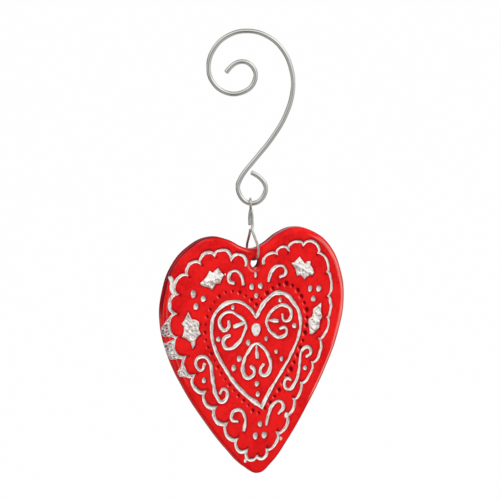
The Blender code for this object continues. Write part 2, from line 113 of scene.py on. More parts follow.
def softened(line, reach, rounds):
    # each point moves to the mean of its neighbours, less of them near the ends
    for _ in range(rounds):
        fresh = line.copy()
        for i in range(1, len(line) - 1):
            k = min(reach, i, len(line) - 1 - i)
            fresh[i] = line[i - k:i + k + 1].mean(axis=0)
        line = fresh
    return line


# Meshes

def meshPiece(name, points, faces, body, look, layers):
    # points in millimetres, world axes
    mesh = bpy.data.meshes.new(name)
    mesh.from_pydata([tuple(p) for p in np.asarray(points) * mm], [], [tuple(f) for f in faces])
    shell = bmesh.new()
    shell.from_mesh(mesh)
    bmesh.ops.recalc_face_normals(shell, faces=shell.faces)
    shell.to_mesh(mesh)
    shell.free()
    for layer, values in layers.items():
        values = np.asarray(values, np.float32)
        kind = "FLOAT_VECTOR" if values.ndim == 2 else "FLOAT"
        made = mesh.attributes.new(layer, kind, "POINT")
        made.data.foreach_set("vector" if kind == "FLOAT_VECTOR" else "value", values.ravel())
    mesh.polygons.foreach_set("use_smooth", [True] * len(mesh.polygons))
    mesh.update()
    mesh.validate()
    piece = bpy.data.objects.new(name, mesh)
    bpy.context.scene.collection.objects.link(piece)
    mesh.materials.append(look)
    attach(piece, body)
    return piece


def bandFaces(a, b, sides):
    # between the ring of points that starts at a and the one that starts at b
    return [(a + j, a + (j + 1) % sides, b + (j + 1) % sides, b + j) for j in range(sides)]


def ringFaces(rings, sides):
    return [face for i in range(rings - 1) for face in bandFaces(i * sides, (i + 1) * sides, sides)]


def cappedRings(rings, sides):
    last = (rings - 1) * sides
    return ringFaces(rings, sides) + [tuple(reversed(range(sides))), tuple(range(last, last + sides))]


def tube(path, radius, sides, dome=0.35, domeRings=(0.45, 0.85)):
    # a round wire with softly domed cut ends; the layer wrap holds the angle and the run
    path = np.asarray(path, float)
    ways = units(np.gradient(path, axis=0))
    side = np.cross(ways[0], (0.3, 1.0, 0.2))    # any way in which no wire starts
    run = runAlong(path)
    stations = [(path[0] - ways[0] * radius * dome * (1 - q * q), ways[0], q, 0) for q in domeRings]
    stations += [(path[i], ways[i], 1.0, run[i]) for i in range(len(path))]
    stations += [(path[-1] + ways[-1] * radius * dome * (1 - q * q), ways[-1], q, run[-1])
                 for q in domeRings[::-1]]
    points, wrap = [], []
    for place, way, share, along in stations:
        side = side - way * np.dot(side, way)
        side /= np.linalg.norm(side)
        up = np.cross(way, side)
        for j in range(sides):
            turn = 2 * math.pi * j / sides
            points.append(place + (side * math.cos(turn) + up * math.sin(turn)) * radius * share)
            wrap.append((math.cos(turn), math.sin(turn), along))
    return points, cappedRings(len(stations), sides), {"wrap": wrap}


# Materials

def newMaterial(name, colour, roughness, metallic=0.0):
    look = bpy.data.materials.new(name)
    look.use_nodes = True
    shader = look.node_tree.nodes["Principled BSDF"]
    shader.inputs["Base Color"].default_value = (*colour, 1)
    shader.inputs["Roughness"].default_value = roughness
    shader.inputs["Metallic"].default_value = metallic
    return look, shader


def addNode(look, kind, **settings):
    # look is a material, a world or a node group
    made = getattr(look, "node_tree", look).nodes.new(kind)
    for key, value in settings.items():
        if key in made.inputs:
            made.inputs[key].default_value = value
        else:
            setattr(made, key, value)
    return made


def join(look, source, target):
    getattr(look, "node_tree", look).links.new(source, target)


def colourSteps(look, factor, steps):
    ramp = addNode(look, "ShaderNodeValToRGB")
    cells = ramp.color_ramp.elements
    while len(cells) < len(steps):
        cells.new(0.5)
    for cell, (place, colour) in zip(cells, steps):
        cell.position = place
        cell.color = (*colour, 1)
    join(look, factor, ramp.inputs[0])
    return ramp.outputs["Color"]


def mixColours(look, factor, first, second, blend="MIX"):
    mix = addNode(look, "ShaderNodeMix", data_type="RGBA", blend_type=blend)
    for value, socket in ((factor, mix.inputs[0]), (first, mix.inputs[6]), (second, mix.inputs[7])):
        if isinstance(value, bpy.types.NodeSocket):
            join(look, value, socket)
        else:
            socket.default_value = value if isinstance(value, float) else (*value, 1)
    return mix.outputs[2]


def calc(look, kind, first, second, third=None):
    node = addNode(look, "ShaderNodeMath", operation=kind)
    for value, socket in zip((first, second, third), node.inputs):
        if isinstance(value, bpy.types.NodeSocket):
            join(look, value, socket)
        elif value is not None:
            socket.default_value = value
    return node.outputs[0]


def makeMottleGroup():
    # cloudy tone and a fine height, used on glass, silver leaf and wire
    group = bpy.data.node_groups.new("mottle", "ShaderNodeTree")
    for name, way, kind in (("Vector", "INPUT", "Vector"), ("Coarse Scale", "INPUT", "Float"),
                            ("Fine Scale", "INPUT", "Float"), ("Tone", "OUTPUT", "Float"),
                            ("Height", "OUTPUT", "Float")):
        group.interface.new_socket(name, in_out=way, socket_type="NodeSocket" + kind)
    start, end = addNode(group, "NodeGroupInput"), addNode(group, "NodeGroupOutput")
    clouds = []
    for scale, detail in (("Coarse Scale", 3), ("Fine Scale", 4)):
        cloud = addNode(group, "ShaderNodeTexNoise", Detail=detail)
        join(group, start.outputs["Vector"], cloud.inputs["Vector"])
        join(group, start.outputs[scale], cloud.inputs["Scale"])
        clouds.append(cloud.outputs["Fac"])
    coarse, fine = clouds
    tone = calc(group, "MULTIPLY_ADD", coarse, 0.6, calc(group, "MULTIPLY", fine, 0.4))
    join(group, tone, end.inputs["Tone"])
    join(group, fine, end.inputs["Height"])
    return group


mottleGroup = makeMottleGroup()


def mottle(look, vector, scales):
    node = addNode(look, "ShaderNodeGroup", node_tree=mottleGroup)
    node.inputs["Coarse Scale"].default_value, node.inputs["Fine Scale"].default_value = scales
    join(look, vector, node.inputs["Vector"])
    return node.outputs["Tone"], node.outputs["Height"]


def layerOf(look, name):
    return addNode(look, "ShaderNodeAttribute", attribute_name=name)


def addBump(look, shader, height, strength, distance):
    bump = addNode(look, "ShaderNodeBump", Strength=strength, Distance=distance)
    join(look, height, bump.inputs["Height"])
    join(look, bump.outputs["Normal"], shader.inputs["Normal"])


wireLook = {
    "hook": {"light": (0.86, 0.86, 0.81), "dark": (0.68, 0.69, 0.66), "roughness": 0.17,
             "metallic": 1.0, "along": 0.05},
    "link": {"light": (0.74, 0.75, 0.70), "dark": (0.27, 0.27, 0.24), "roughness": 0.24,
             "metallic": 0.95, "along": 0.35},
    # how often the streaks change round the wire, their coarse and fine scale, and where dark turns light
    "around": 1.2, "scales": (1.1, 3.0), "tones": (0.36, 0.56),
    "smoothest": 0.75, "roughest": 1.4, "bump": 0.15, "bumpHeight": 0.00002,
}


def makeWireMaterial(name, style):
    # drawn wire: streaks that run far along it and change fast around it
    look, shader = newMaterial(name, style["light"], style["roughness"], style["metallic"])
    stretch = addNode(look, "ShaderNodeVectorMath", operation="MULTIPLY")
    stretch.inputs[1].default_value = (wireLook["around"], wireLook["around"], style["along"])
    join(look, layerOf(look, "wrap").outputs["Vector"], stretch.inputs[0])
    tone, height = mottle(look, stretch.outputs[0], wireLook["scales"])
    colour = colourSteps(look, tone, list(zip(wireLook["tones"], (style["dark"], style["light"]))))
    join(look, colour, shader.inputs["Base Color"])
    rough = addNode(look, "ShaderNodeMapRange")
    rough.inputs["To Min"].default_value = style["roughness"] * wireLook["smoothest"]
    rough.inputs["To Max"].default_value = style["roughness"] * wireLook["roughest"]
    join(look, height, rough.inputs["Value"])
    join(look, rough.outputs[0], shader.inputs["Roughness"])
    addBump(look, shader, height, wireLook["bump"], wireLook["bumpHeight"])
    return look


glassLook = {
    # the glass's shadow colour, its pink and its lavender are painted shade, painted highlights and painted
    # reflection along the edge; red and deep are its own tones
    "red": (0.84, 0.012, 0.012), "deep": (0.62, 0.005, 0.007), "shadow": (0.10, 0.0, 0.006),
    "highlight": (0.95, 0.50, 0.42), "rimReflection": (0.42, 0.26, 0.34), "roughness": 0.09, "ior": 1.2,
    "gloss": 0.3, "shadeRoughness": 0.8, "scales": (150.0, 900.0), "tones": (0.34, 0.56),
    "bump": 0.06, "bumpHeight": 0.00004,
}


def makeGlassMaterial():
    look, shader = newMaterial("redGlass", glassLook["red"], glassLook["roughness"])
    place = addNode(look, "ShaderNodeTexCoord").outputs["Object"]
    tone, height = mottle(look, place, glassLook["scales"])
    colour = colourSteps(look, tone, list(zip(glassLook["tones"], (glassLook["deep"], glassLook["red"]))))
    # painted highlights, painted shade and painted edge reflection, each from its layer, over the glass's own
    # colour
    for layer, tint in (("highlight", "highlight"), ("shade", "shadow"), ("rimReflection", "rimReflection")):
        colour = mixColours(look, layerOf(look, layer).outputs["Fac"], colour, glassLook[tint])
    join(look, colour, shader.inputs["Base Color"])
    shade = layerOf(look, "shade").outputs["Fac"]
    rough = calc(look, "MULTIPLY_ADD", shade, glassLook["shadeRoughness"], glassLook["roughness"])
    join(look, rough, shader.inputs["Roughness"])
    shader.inputs["IOR"].default_value = glassLook["ior"]
    shader.inputs["Specular IOR Level"].default_value = glassLook["gloss"]
    addBump(look, shader, height, glassLook["bump"], glassLook["bumpHeight"])
    return look


silverLook = {
    # the brown grey stands for worn silver and for painted shade; the dark red for painted shade at the
    # edges, and also blush and specks
    "white": (0.98, 0.96, 0.92), "cream": (0.88, 0.85, 0.79), "pink": (0.84, 0.56, 0.54),
    "grey": (0.42, 0.40, 0.38), "wearAndShade": (0.22, 0.19, 0.18), "dark": (0.16, 0.01, 0.02),
    "steps": [(0.38, "grey"), (0.43, "pink"), (0.47, "cream"), (0.53, "white"), (0.66, "cream")],
    "roughness": 0.4, "metallic": 0.1, "scales": (1.1, 3.2), "bump": 0.6,
}


def makeSilverMaterial(name, crinkle):
    # silver leaf: cream white in streaks along each line, grey and pink where it has thinned, and grey and
    # dark red as painted shade
    look, shader = newMaterial(name, silverLook["white"], silverLook["roughness"], silverLook["metallic"])
    tone, height = mottle(look, layerOf(look, "flow").outputs["Vector"], silverLook["scales"])
    colour = colourSteps(look, tone, [(place, silverLook[key]) for place, key in silverLook["steps"]])
    for layer, tint in (("wearAndShade", "wearAndShade"), ("shade", "dark")):
        colour = mixColours(look, layerOf(look, layer).outputs["Fac"], colour, silverLook[tint])
    join(look, colour, shader.inputs["Base Color"])
    addBump(look, shader, height, silverLook["bump"], crinkle)
    return look


hookSteel = makeWireMaterial("hookSteel", wireLook["hook"])
linkSteel = makeWireMaterial("linkSteel", wireLook["link"])
redGlass = makeGlassMaterial()
silverLeaf = makeSilverMaterial("silverLeaf", crinkle=0.00007)
crinkledLeaf = makeSilverMaterial("crinkledLeaf", crinkle=0.0001)
print("materials made")


# Scroll hook

hook = {
    "wire": 1.8, "sides": 24, "step": 0.4,
    "drawnLength": 63.2, "length": 63.2,    # the hook's height as drawn below and as made
    # millimetres right of and above the resting point, in the hook's own plane
    "route": [
        (-7.8, -13.9), (-5.2, -11.1), (-1.6, -10.0), (2.3, -12.7), (2.2, -17.9), (-2.0, -21.3),
        (-7.8, -21.4), (-13.0, -17.0), (-14.2, -12.2), (-11.7, -4.8), (-5.9, -0.2), (0.5, 0.9), (7.1, -1.0),
        (12.5, -5.8), (15.7, -13.2), (16.2, -20.5), (13.7, -29.3), (8.5, -38.0), (1.4, -46.6), (-3.2, -52.4),
        (-4.6, -56.9), (0.4, -62.3), (5.8, -57.3), (4.1, -53.1), (0.6, -50.7)],
}


def makeHook():
    drawn = smoothLine(hook["route"], perSpan=14)
    line = evenLine(drawn * hook["length"] / hook["drawnLength"], hook["step"])
    line = softened(line, reach=3, rounds=2)
    lift = hang["loopZ"] - line[:, 1].min()
    turn = math.radians(hang["hookTurn"])
    path = [(p[0] * math.cos(turn), -p[0] * math.sin(turn), p[1] + lift) for p in line]
    points, faces, layers = tube(path, hook["wire"] / 2, hook["sides"])
    piece = meshPiece("hookWire", points, faces, "hook", hookSteel, layers)
    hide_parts("scroll_hook")


makeHook()
print("hook made")


# Wire link

link = {
    "wire": 1.0, "sides": 16, "step": 0.25, "topLoop": 3.5, "frontRoom": 2.6, "backRoom": 0.95,
    "halfTurns": -1, "turnPause": 0.8, "cutRise": 0.2, "glass": 4.4,
    # the neck's drop as a share of the top loop, each strand's way from the middle as a share of the
    # wire, and how much of the glass the wire crosses level
    "neck": 1.1, "strand": 0.54, "level": 0.84,
}


def linkPath():
    strand = link["wire"] * link["strand"]
    top = hang["linkTopZ"]
    neck = top - link["neck"] * link["topLoop"]
    foot = (top + hang["pivotZ"]) / 2
    half = link["glass"] / 2
    front = half + link["frontRoom"] + link["wire"] / 2
    back = half + link["backRoom"] + link["wire"] / 2
    turn = math.radians(hang["hookTurn"])
    pivot = hang["pivotZ"]
    drop = foot - pivot
    swap = math.cos(math.pi * link["halfTurns"])

    def at(offset, z, angle):
        return (offset * math.sin(angle), offset * math.cos(angle), z)

    def shank(offset, start, end, count):
        places = []
        for z in np.linspace(start, end, count + 1):
            rise = (z - foot) / (neck - foot)
            eased = rise + link["turnPause"] * math.sin(2 * math.pi * rise) / (2 * math.pi)
            places.append(at(offset, z, eased * (turn + math.pi * link["halfTurns"])))
        return places

    # up one strand, round the top loop, down the other strand and round the large loop; q and d are
    # the way to the side and down, as shares of the loop
    points = shank(strand, foot + link["cutRise"] * (neck - foot), neck, 14)
    points += [at(swap * q * link["topLoop"] / 2, top - d * link["topLoop"], turn)
               for q, d in ((0.75, 0.82), (1.0, 0.5), (0.72, 0.12), (0, 0), (-0.72, 0.12), (-1.0, 0.5),
                            (-0.75, 0.82))]
    points += shank(-strand, neck, foot, 18)
    points += [at(-q * front, foot - d * drop, 0)
               for q, d in ((0.24, 0.1), (0.64, 0.32), (0.92, 0.5), (1.0, 0.7), (0.86, 0.87))]
    points += [at(-half * link["level"], pivot, 0), at(half * link["level"], pivot, 0)]
    points += [at(q * back, foot - d * drop, 0)
               for q, d in ((0.92, 0.91), (1.0, 0.72), (0.88, 0.52), (0.52, 0.3), (0.26, 0.12))]
    points += [at(strand, foot - 0.03 * drop, 0)]
    return softened(evenLine(smoothLine(points, perSpan=4), link["step"]), reach=2, rounds=2)


def makeLink():
    points, faces, layers = tube(linkPath(), link["wire"] / 2, link["sides"])
    piece = meshPiece("linkWire", points, faces, "link", linkSteel, layers)
    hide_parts("wire_link")


makeLink()
print("link made")


# The pattern's lines, in millimetres right of and above the hole's centre

pattern = {
    "borderWidth": 1.05, "innerHeartWidth": 1.32, "lineWidth": 1.12, "dotWidth": 1.75, "discWidth": 4.2,
    "scallops": [
        (-4.1, -0.3, 2.9), (-9.9, 2.7, 2.6), (-16.7, 5.1, 2.3), (-22.5, 2.7, 2.5), (-28.0, -1.1, 3.0),
        (-32.2, -7.6, 2.6), (-33.2, -14.6, 3.0), (-32.8, -23.4, 2.9), (-29.7, -31.3, 2.6),
        (-26.3, -38.7, 2.4), (-22.1, -45.5, 2.3), (-18.0, -51.9, 2.4), (-13.6, -58.8, 2.3),
        (-9.2, -65.5, 2.3), (-5.3, -70.4, 2.4), (-0.9, -73.5, 2.0), (3.3, -71.3, 1.9), (7.9, -65.5, 2.1),
        (11.8, -59.4, 1.6), (15.1, -53.5, 1.3), (18.5, -47.8, 1.5), (23.3, -40.6, 2.1), (26.4, -31.8, 2.0),
        (30.1, -24.0, 1.4), (30.6, -15.9, 1.5), (30.4, -6.8, 1.9), (26.7, 0.9, 2.7), (20.4, 4.7, 2.5),
        (14.0, 3.1, 2.3), (8.9, 2.5, 1.8)],
    "borderEnd": (3.4, -0.1), "arcSteps": 14,
    # the border's width from each of these scallops on, and how far its thick part lags along an arc
    "borderParts": [(0, 1.0, 0), (8, 1.25, 0.7), (14, 1.0, 0), (19, 0.82, 0)],
    "innerHeart": [[(-0.1, -20.2), (-3.3, -15.9), (-9.4, -13.1), (-16.8, -16.4), (-18.6, -22.4),
                    (-17.4, -30.0), (-14.0, -37.0), (-9.2, -44.4), (-4.2, -49.9), (1.5, -54.6)],
                   [(1.5, -54.6), (4.3, -49.9), (9.3, -43.3), (14.4, -36.0), (17.8, -29.1),
                    (18.4, -22.6), (16.2, -17.2), (10.0, -12.1), (4.2, -14.4), (-0.1, -20.2)]],
    "strokes": {
        "silver_curl_left": [
            (-11.6, -20.3), (-11.5, -22.2), (-13.1, -23.4), (-14.9, -21.9), (-14.9, -18.6), (-11.9, -16.7),
            (-7.6, -18.6), (-4.5, -22.5), (-5.3, -25.5), (-8.2, -29.3), (-11.6, -30.6), (-13.8, -28.7),
            (-13.4, -26.3), (-11.4, -25.6)],
        "silver_curl_right": [
            (10.9, -20.6), (11.7, -22.9), (13.6, -23.0), (14.6, -20.2), (12.7, -17.4), (8.8, -17.2),
            (6.0, -19.2), (4.2, -22.5), (5.1, -25.3), (7.2, -27.7), (10.3, -29.0), (12.6, -27.5),
            (12.0, -25.5), (10.0, -25.7)],
        "silver_lyre": [
            (-2.6, -38.5), (-1.3, -40.2), (-2.0, -42.1), (-4.4, -42.6), (-6.1, -39.2), (-5.5, -35.5),
            (-3.3, -32.3), (-0.2, -30.1), (2.5, -31.9), (4.9, -35.9), (5.5, -39.6), (3.9, -42.5),
            (1.8, -42.3), (1.2, -40.2), (2.4, -38.5)],
        "silver_scroll_left": [
            (-21.8, -35.0), (-23.1, -37.0), (-25.0, -35.6), (-25.1, -32.8), (-22.6, -32.0), (-19.6, -34.9),
            (-19.0, -39.0), (-18.3, -43.9), (-17.2, -48.0), (-14.8, -50.2), (-12.7, -47.6), (-14.4, -45.4),
            (-15.8, -46.8)],
        "silver_scroll_right": [
            (21.0, -37.8), (22.6, -36.9), (22.3, -34.8), (20.5, -34.3), (18.6, -36.2), (18.0, -39.3),
            (17.5, -42.9), (16.0, -47.1), (13.0, -49.4), (11.3, -46.9), (12.8, -45.2), (14.2, -46.2)],
        "silver_cane_upper_left": [
            (-5.1, -7.1), (-6.0, -3.6), (-8.4, -1.7), (-10.9, -3.0), (-10.8, -5.3), (-9.2, -6.2)],
        "silver_cane_upper_right": [
            (5.4, -7.2), (6.9, -3.5), (9.8, -1.9), (12.3, -3.0), (12.4, -5.4), (10.4, -6.2)],
        "silver_cane_lower_left": [
            (-6.2, -62.5), (-5.7, -57.5), (-8.0, -54.3), (-11.0, -55.2), (-10.9, -57.9), (-8.8, -58.6)],
        "silver_cane_lower_right": [
            (3.2, -61.6), (4.4, -57.4), (6.5, -54.2), (9.5, -53.6), (10.6, -56.0), (8.6, -58.2)],
        "silver_bar_left": [(-5.3, -21.5), (-7.2, -22.1), (-9.0, -22.5)],
        "silver_bar_right": [(4.9, -22.0), (6.8, -22.3), (8.8, -22.8)],
        "silver_lyre_drop": [(-0.1, -31.0), (-0.1, -33.4), (0.0, -35.4)],
        "silver_drop": [(0.0, -3.1), (0.0, -4.9)],
    },
    "leaves": {
        "holly_leaf_upper_left": [
            (-22.9, -4.7), (-21.1, -3.4), (-19.9, -2.3), (-18.9, -0.5), (-17.5, -1.4), (-15.4, 0.2),
            (-14.5, -1.3), (-13.1, -2.7), (-14.0, -4.1), (-14.7, -5.7), (-16.3, -5.5), (-17.2, -6.5),
            (-18.1, -7.7), (-19.0, -6.8), (-20.5, -6.2), (-22.2, -5.6)],
        "holly_leaf_upper_right": [
            (15.1, -1.6), (16.6, -1.2), (17.5, -0.5), (18.7, 0.4), (19.7, -1.0), (21.0, -2.6), (21.8, -1.8),
            (23.2, -1.7), (23.2, -3.4), (24.1, -4.6), (24.7, -6.2), (23.8, -7.3), (22.7, -7.0), (21.4, -7.6),
            (20.6, -8.4), (19.6, -7.0), (18.7, -6.5), (17.4, -6.8), (17.1, -5.2), (16.8, -3.9), (15.8, -2.5)],
        "holly_leaf_lower_left": [
            (-27.9, -14.7), (-27.2, -16.3), (-26.5, -17.6), (-25.4, -17.8), (-23.9, -18.7), (-23.6, -19.8),
            (-24.0, -21.7), (-23.1, -23.5), (-24.4, -24.3), (-25.3, -25.4), (-25.6, -27.3), (-26.6, -28.6),
            (-27.1, -26.3), (-28.6, -24.8), (-30.7, -23.7), (-30.0, -22.0), (-29.8, -19.9), (-30.8, -18.7),
            (-29.6, -17.6), (-28.9, -16.3)],
        "holly_leaf_lower_right": [
            (27.6, -18.2), (27.5, -20.0), (27.3, -21.7), (27.9, -23.4), (26.9, -24.8), (26.6, -26.2),
            (26.5, -27.6), (25.0, -28.7), (23.6, -29.7), (22.4, -29.4), (22.3, -27.1), (21.9, -24.5),
            (22.2, -23.7), (23.7, -22.9), (24.0, -21.6), (24.0, -20.3), (25.7, -19.3)],
    },
    # each leaf's vein; the leaf has painted shade on the right of its way
    "veins": {
        "holly_leaf_upper_left": [(-22.2, -4.8), (-13.8, -3.1)],
        "holly_leaf_upper_right": [(15.5, -1.6), (23.2, -6.5)],
        "holly_leaf_lower_left": [(-26.4, -27.2), (-26.4, -17.8)],
        "holly_leaf_lower_right": [(23.7, -29.2), (27.0, -19.1)],
    },
    # place and size of each dot, as a share of the dots' width
    "dots": [
        (-25.7, -8.3, 1.35), (-21.7, -10.5, 1.2), (-24.8, -13.0, 1.25), (-1.7, -8.5, 1.15),
        (1.9, -8.6, 1.15), (0.1, -12.0, 1.0), (22.9, -12.1, 1.15), (26.6, -12.6, 1.25), (24.2, -16.2, 1.15),
        (-9.7, -15.2, 0.85), (-16.0, -26.4, 1.0), (-3.7, -29.3, 1.15), (3.9, -28.8, 0.85),
        (-7.5, -34.9, 1.2), (-9.9, -38.1, 1.2), (10.1, -14.9, 0.9), (15.9, -25.4, 1.05), (8.0, -34.3, 0.85),
        (10.2, -37.3, 0.9), (-0.4, -45.4, 1.05), (-0.1, -49.4, 1.05), (-22.3, -41.0, 1.05),
        (20.2, -42.2, 0.95), (0.6, -61.0, 1.15), (-1.5, -65.3, 1.3), (2.3, -65.5, 1.35)],
    "disc": (-0.3, -24.8),
    # stray silver: place and width
    "specks": [(9.3, -68.0, 1.2), (11.9, -59.3, 2.0), (-6.0, -74.2, 1.3), (-12.6, -2.6, 0.7)],
    "edgeStrip": [(-34.4, -1.4), (-34.1, -3.2), (-34.3, -5.0), (-33.9, -6.8)], "edgeStripWidth": 1.5,
    "beadRoute": [
        (-0.1, -15.6), (-4.3, -11.7), (-9.4, -9.4), (-14.6, -10.1), (-18.6, -14.1), (-21.2, -20.4),
        (-21.1, -26.8), (-18.4, -33.2), (-15.3, -39.4), (-9.5, -47.6), (-4.4, -53.0), (-0.6, -56.8),
        (3.0, -55.2), (7.2, -51.0), (12.6, -43.8), (16.7, -37.0), (20.0, -29.4), (21.1, -21.6),
        (19.2, -15.4), (14.6, -9.9), (9.6, -9.3), (4.4, -11.8), (-0.1, -15.6)],
    "beadStep": 2.95, "beadWidth": 1.7,
    # how each line swells along its run, as shares of its width
    "swells": {
        "silver_curl_left": (1.15, 1.3, 0.9, 0.95, 0.95, 0.85, 0.95, 1.4, 1.1, 1.3),
        "silver_curl_right": (0.8, 0.95, 1.15, 1.05, 1.0, 0.9, 0.95, 1.3, 1.05, 0.85),
        "silver_lyre": (0.9, 1.2, 1.35, 1.0, 0.9, 0.85, 0.9, 1.0, 1.35, 1.2, 0.9),
        "silver_scroll_left": (0.8, 1.0, 1.05, 1.0, 1.15, 1.15, 1.1, 1.2, 1.2, 1.0, 0.8),
        "silver_scroll_right": (1.0, 1.1, 0.9, 0.85, 0.85, 0.9, 1.1, 1.2, 0.9, 0.7),
        "silver_bar_left": (0.8, 1.1, 1.25, 1.3), "silver_bar_right": (0.6, 1.0, 1.3, 1.1),
        "silver_lyre_drop": (0.7, 0.9, 1.2, 1.05), "silver_drop": (0.6, 0.95, 1.15, 0.8),
        "silver_inner_heart": (0.85, 0.95, 1.05, 1.0, 0.95, 1.0, 1.05, 1.15, 1.25, 0.9, 0.75, 0.75, 0.8,
                               0.95, 1.05, 1.1, 1.1, 1.0),
    },
}


def scallopLine():
    stops = [np.array(s[:2]) for s in pattern["scallops"]] + [np.array(pattern["borderEnd"])]
    line, swell = [stops[0]], [0.8]
    for number, ((_, _, bulge), a, b) in enumerate(zip(pattern["scallops"], stops, stops[1:])):
        out = np.array((b[1] - a[1], a[0] - b[0])) / np.linalg.norm(b - a)
        slim, lag = [part[1:] for part in pattern["borderParts"] if part[0] <= number][-1]
        for k in range(1, pattern["arcSteps"] + 1):
            turn = math.pi * k / pattern["arcSteps"]
            share = (1 - math.cos(turn)) / 2
            line.append(a + (b - a) * share + out * bulge * math.sin(turn))
            swell.append(slim * (0.85 + 0.25 * math.sin(turn - lag + 0.3 * math.sin(number * 2.3))))
    for k in range(1, 6):
        swell[-k] = 1.7 - 0.14 * k    # a blob where the line ends beside the hole
    return np.array(line), np.array(swell)


def swellAlong(name, count):
    values = pattern["swells"].get(name, (0.9, 1.05, 1.0, 1.0, 1.05, 1.1, 0.9))
    return np.interp(np.linspace(0, 1, count), np.linspace(0, 1, len(values)), values)


def handDrawn(line, halves, seed, waver):
    # the line wavers by less than this many millimetres, and its width by up to a fifth
    widePace, driftPace, wideShare = 0.5, 0.45, 0.4
    wide = [drifting((x * widePace, z * widePace, seed)) for x, z in line]
    drift = [[drifting((x * driftPace, z * driftPace, seed + more)) for more in (5, 9)]
             for x, z in line]
    return line + waver * np.array(drift), halves * (1 + wideShare * np.array(wide))


# each silver line: its node, points, half widths and whether it closes on itself
line, swell = scallopLine()
halves = swell * pattern["borderWidth"] / 2
silverLines = [("silver_border", *handDrawn(line, halves, seed=1.5, waver=0.3), False)]
left, right = (smoothLine(half, perSpan=10)[:, :2] for half in pattern["innerHeart"])
line = np.concatenate([evenLine(left, 0.6)[:-1], evenLine(right, 0.6)[:-1]])
halves = swellAlong("silver_inner_heart", len(line)) * pattern["innerHeartWidth"] / 2
silverLines.append(("silver_inner_heart", *handDrawn(line, halves, seed=2.5, waver=0.1), True))
for name, route in pattern["strokes"].items():
    line = evenLine(smoothLine(route, perSpan=10)[:, :2], 0.35)
    halves = swellAlong(name, len(line)) * pattern["lineWidth"] / 2
    silverLines.append((name, *handDrawn(line, halves, seed=3.5, waver=0.15), False))

beads = evenLine(smoothLine(pattern["beadRoute"], perSpan=10)[:, :2], pattern["beadStep"])[:-1]


# Glass heart

glass = {
    "backY": 2.2, "frontY": -2.75, "frontRound": 1.9, "frontDrop": 1.3, "backRound": 1.9, "roundSteps": 12,
    "frontGrid": 0.36, "backGrid": 2.4, "holeSides": 72, "holeFlare": 0.3, "wallRings": 4,
    # the hole on the front and on the back: middle right of and above the centre, half width, half height
    "frontHole": (-0.15, 0.25, 1.65, 1.8), "backHole": (0.75, 0.0, 2.45, 2.45),
    # the low lip round the hole: its middle, radius, height and width
    "lipMiddle": (-0.1, 0.2), "lipRadius": 2.8, "lip": 0.22, "lipWidth": 0.42,
    "grooveDepth": 0.5, "grooveWall": 0.5, "beadDepth": 0.45,
    # right half of the outline from the cleft to the tip
    "side": [
        (0, 5.3), (4.6, 6.6), (10.5, 9.9), (17.5, 11.5), (25.8, 8.8), (32.6, 2.6), (36.8, -7), (38, -17.5),
        (35.3, -30.5), (29, -44.5), (21.4, -57), (12.6, -69.3), (5.4, -77.2), (0, -80.2)],
}


def heartOutline(step=0.42, perSpan=12):
    side = glass["side"]
    # one more point beyond the cleft and one beyond the tip shape the ends, and their spans are left out
    before, after = ((-x, z) for x, z in (side[1], side[-2]))
    line = smoothLine([before, *side, after], perSpan)[perSpan:-perSpan, :2]
    right = evenLine(line, step)
    leftHalf = right[1:-1][::-1] * (-1, 1)
    return np.concatenate([right, leftHalf])


outline = heartOutline()
outlineTree = treeOf(outline)


def edgeDistance(x, z):
    index = outlineTree.find((x, z, 0))[1]
    best = 1e9    # further than anything here
    for other in (index - 1, index):
        a = outline[other % len(outline)]
        b = outline[(other + 1) % len(outline)]
        span = b - a
        share = clamped(np.dot((x - a[0], z - a[1]), span) / np.dot(span, span))
        best = min(best, math.hypot(*(a + span * share - (x, z))))
    return best


def plainFront(inset):
    # front surface without its relief, by how far a point lies inside the outline
    past = min(1.0, fading(inset, glass["frontRound"]))
    return glass["frontY"] + glass["frontDrop"] * (1 - math.sqrt(1 - past ** 2))


def insideLoop(spots, loop):
    inside = np.zeros(len(spots), bool)
    for (ax, az), (bx, bz) in zip(loop, np.roll(loop, -1, axis=0)):
        if az != bz:
            cross = (az > spots[:, 1]) != (bz > spots[:, 1])
            inside ^= cross & (spots[:, 0] < ax + (spots[:, 1] - az) * (bx - ax) / (bz - az))
    return inside


def leafSpots(loop, grid, order="xy"):
    # spots of a square grid inside the loop, row by row (xy) or column by column (ij)
    low, high = loop.min(axis=0), loop.max(axis=0)
    xs, zs = np.meshgrid(*(np.arange(low[k], high[k], grid) for k in (0, 1)), indexing=order)
    spots = np.column_stack([xs.ravel(), zs.ravel()])
    return spots[insideLoop(spots, loop)]


hollows = {
    # which way the shade of beads, of the border and of other silver falls
    "beadWay": (0.92, 0.38), "borderWay": (0.2, 0.98), "silverWay": (0.77, -0.64),
    # strength of the painted shade and painted highlight of beads, and of the painted shade of the small pits
    # at the border's cusps
    "beadShade": 1.3, "beadHighlight": 0.42,
    "pitShade": 0.8, "pitRadius": 0.85, "pitDepth": 0.25, "pitInset": 1.15,
    # shade beside silver: least, more where it falls, how far it reaches, and a thin line all round
    "least": 0.1, "more": 0.85, "reach": 1.05, "line": 0.62, "lineReach": 0.45,
}


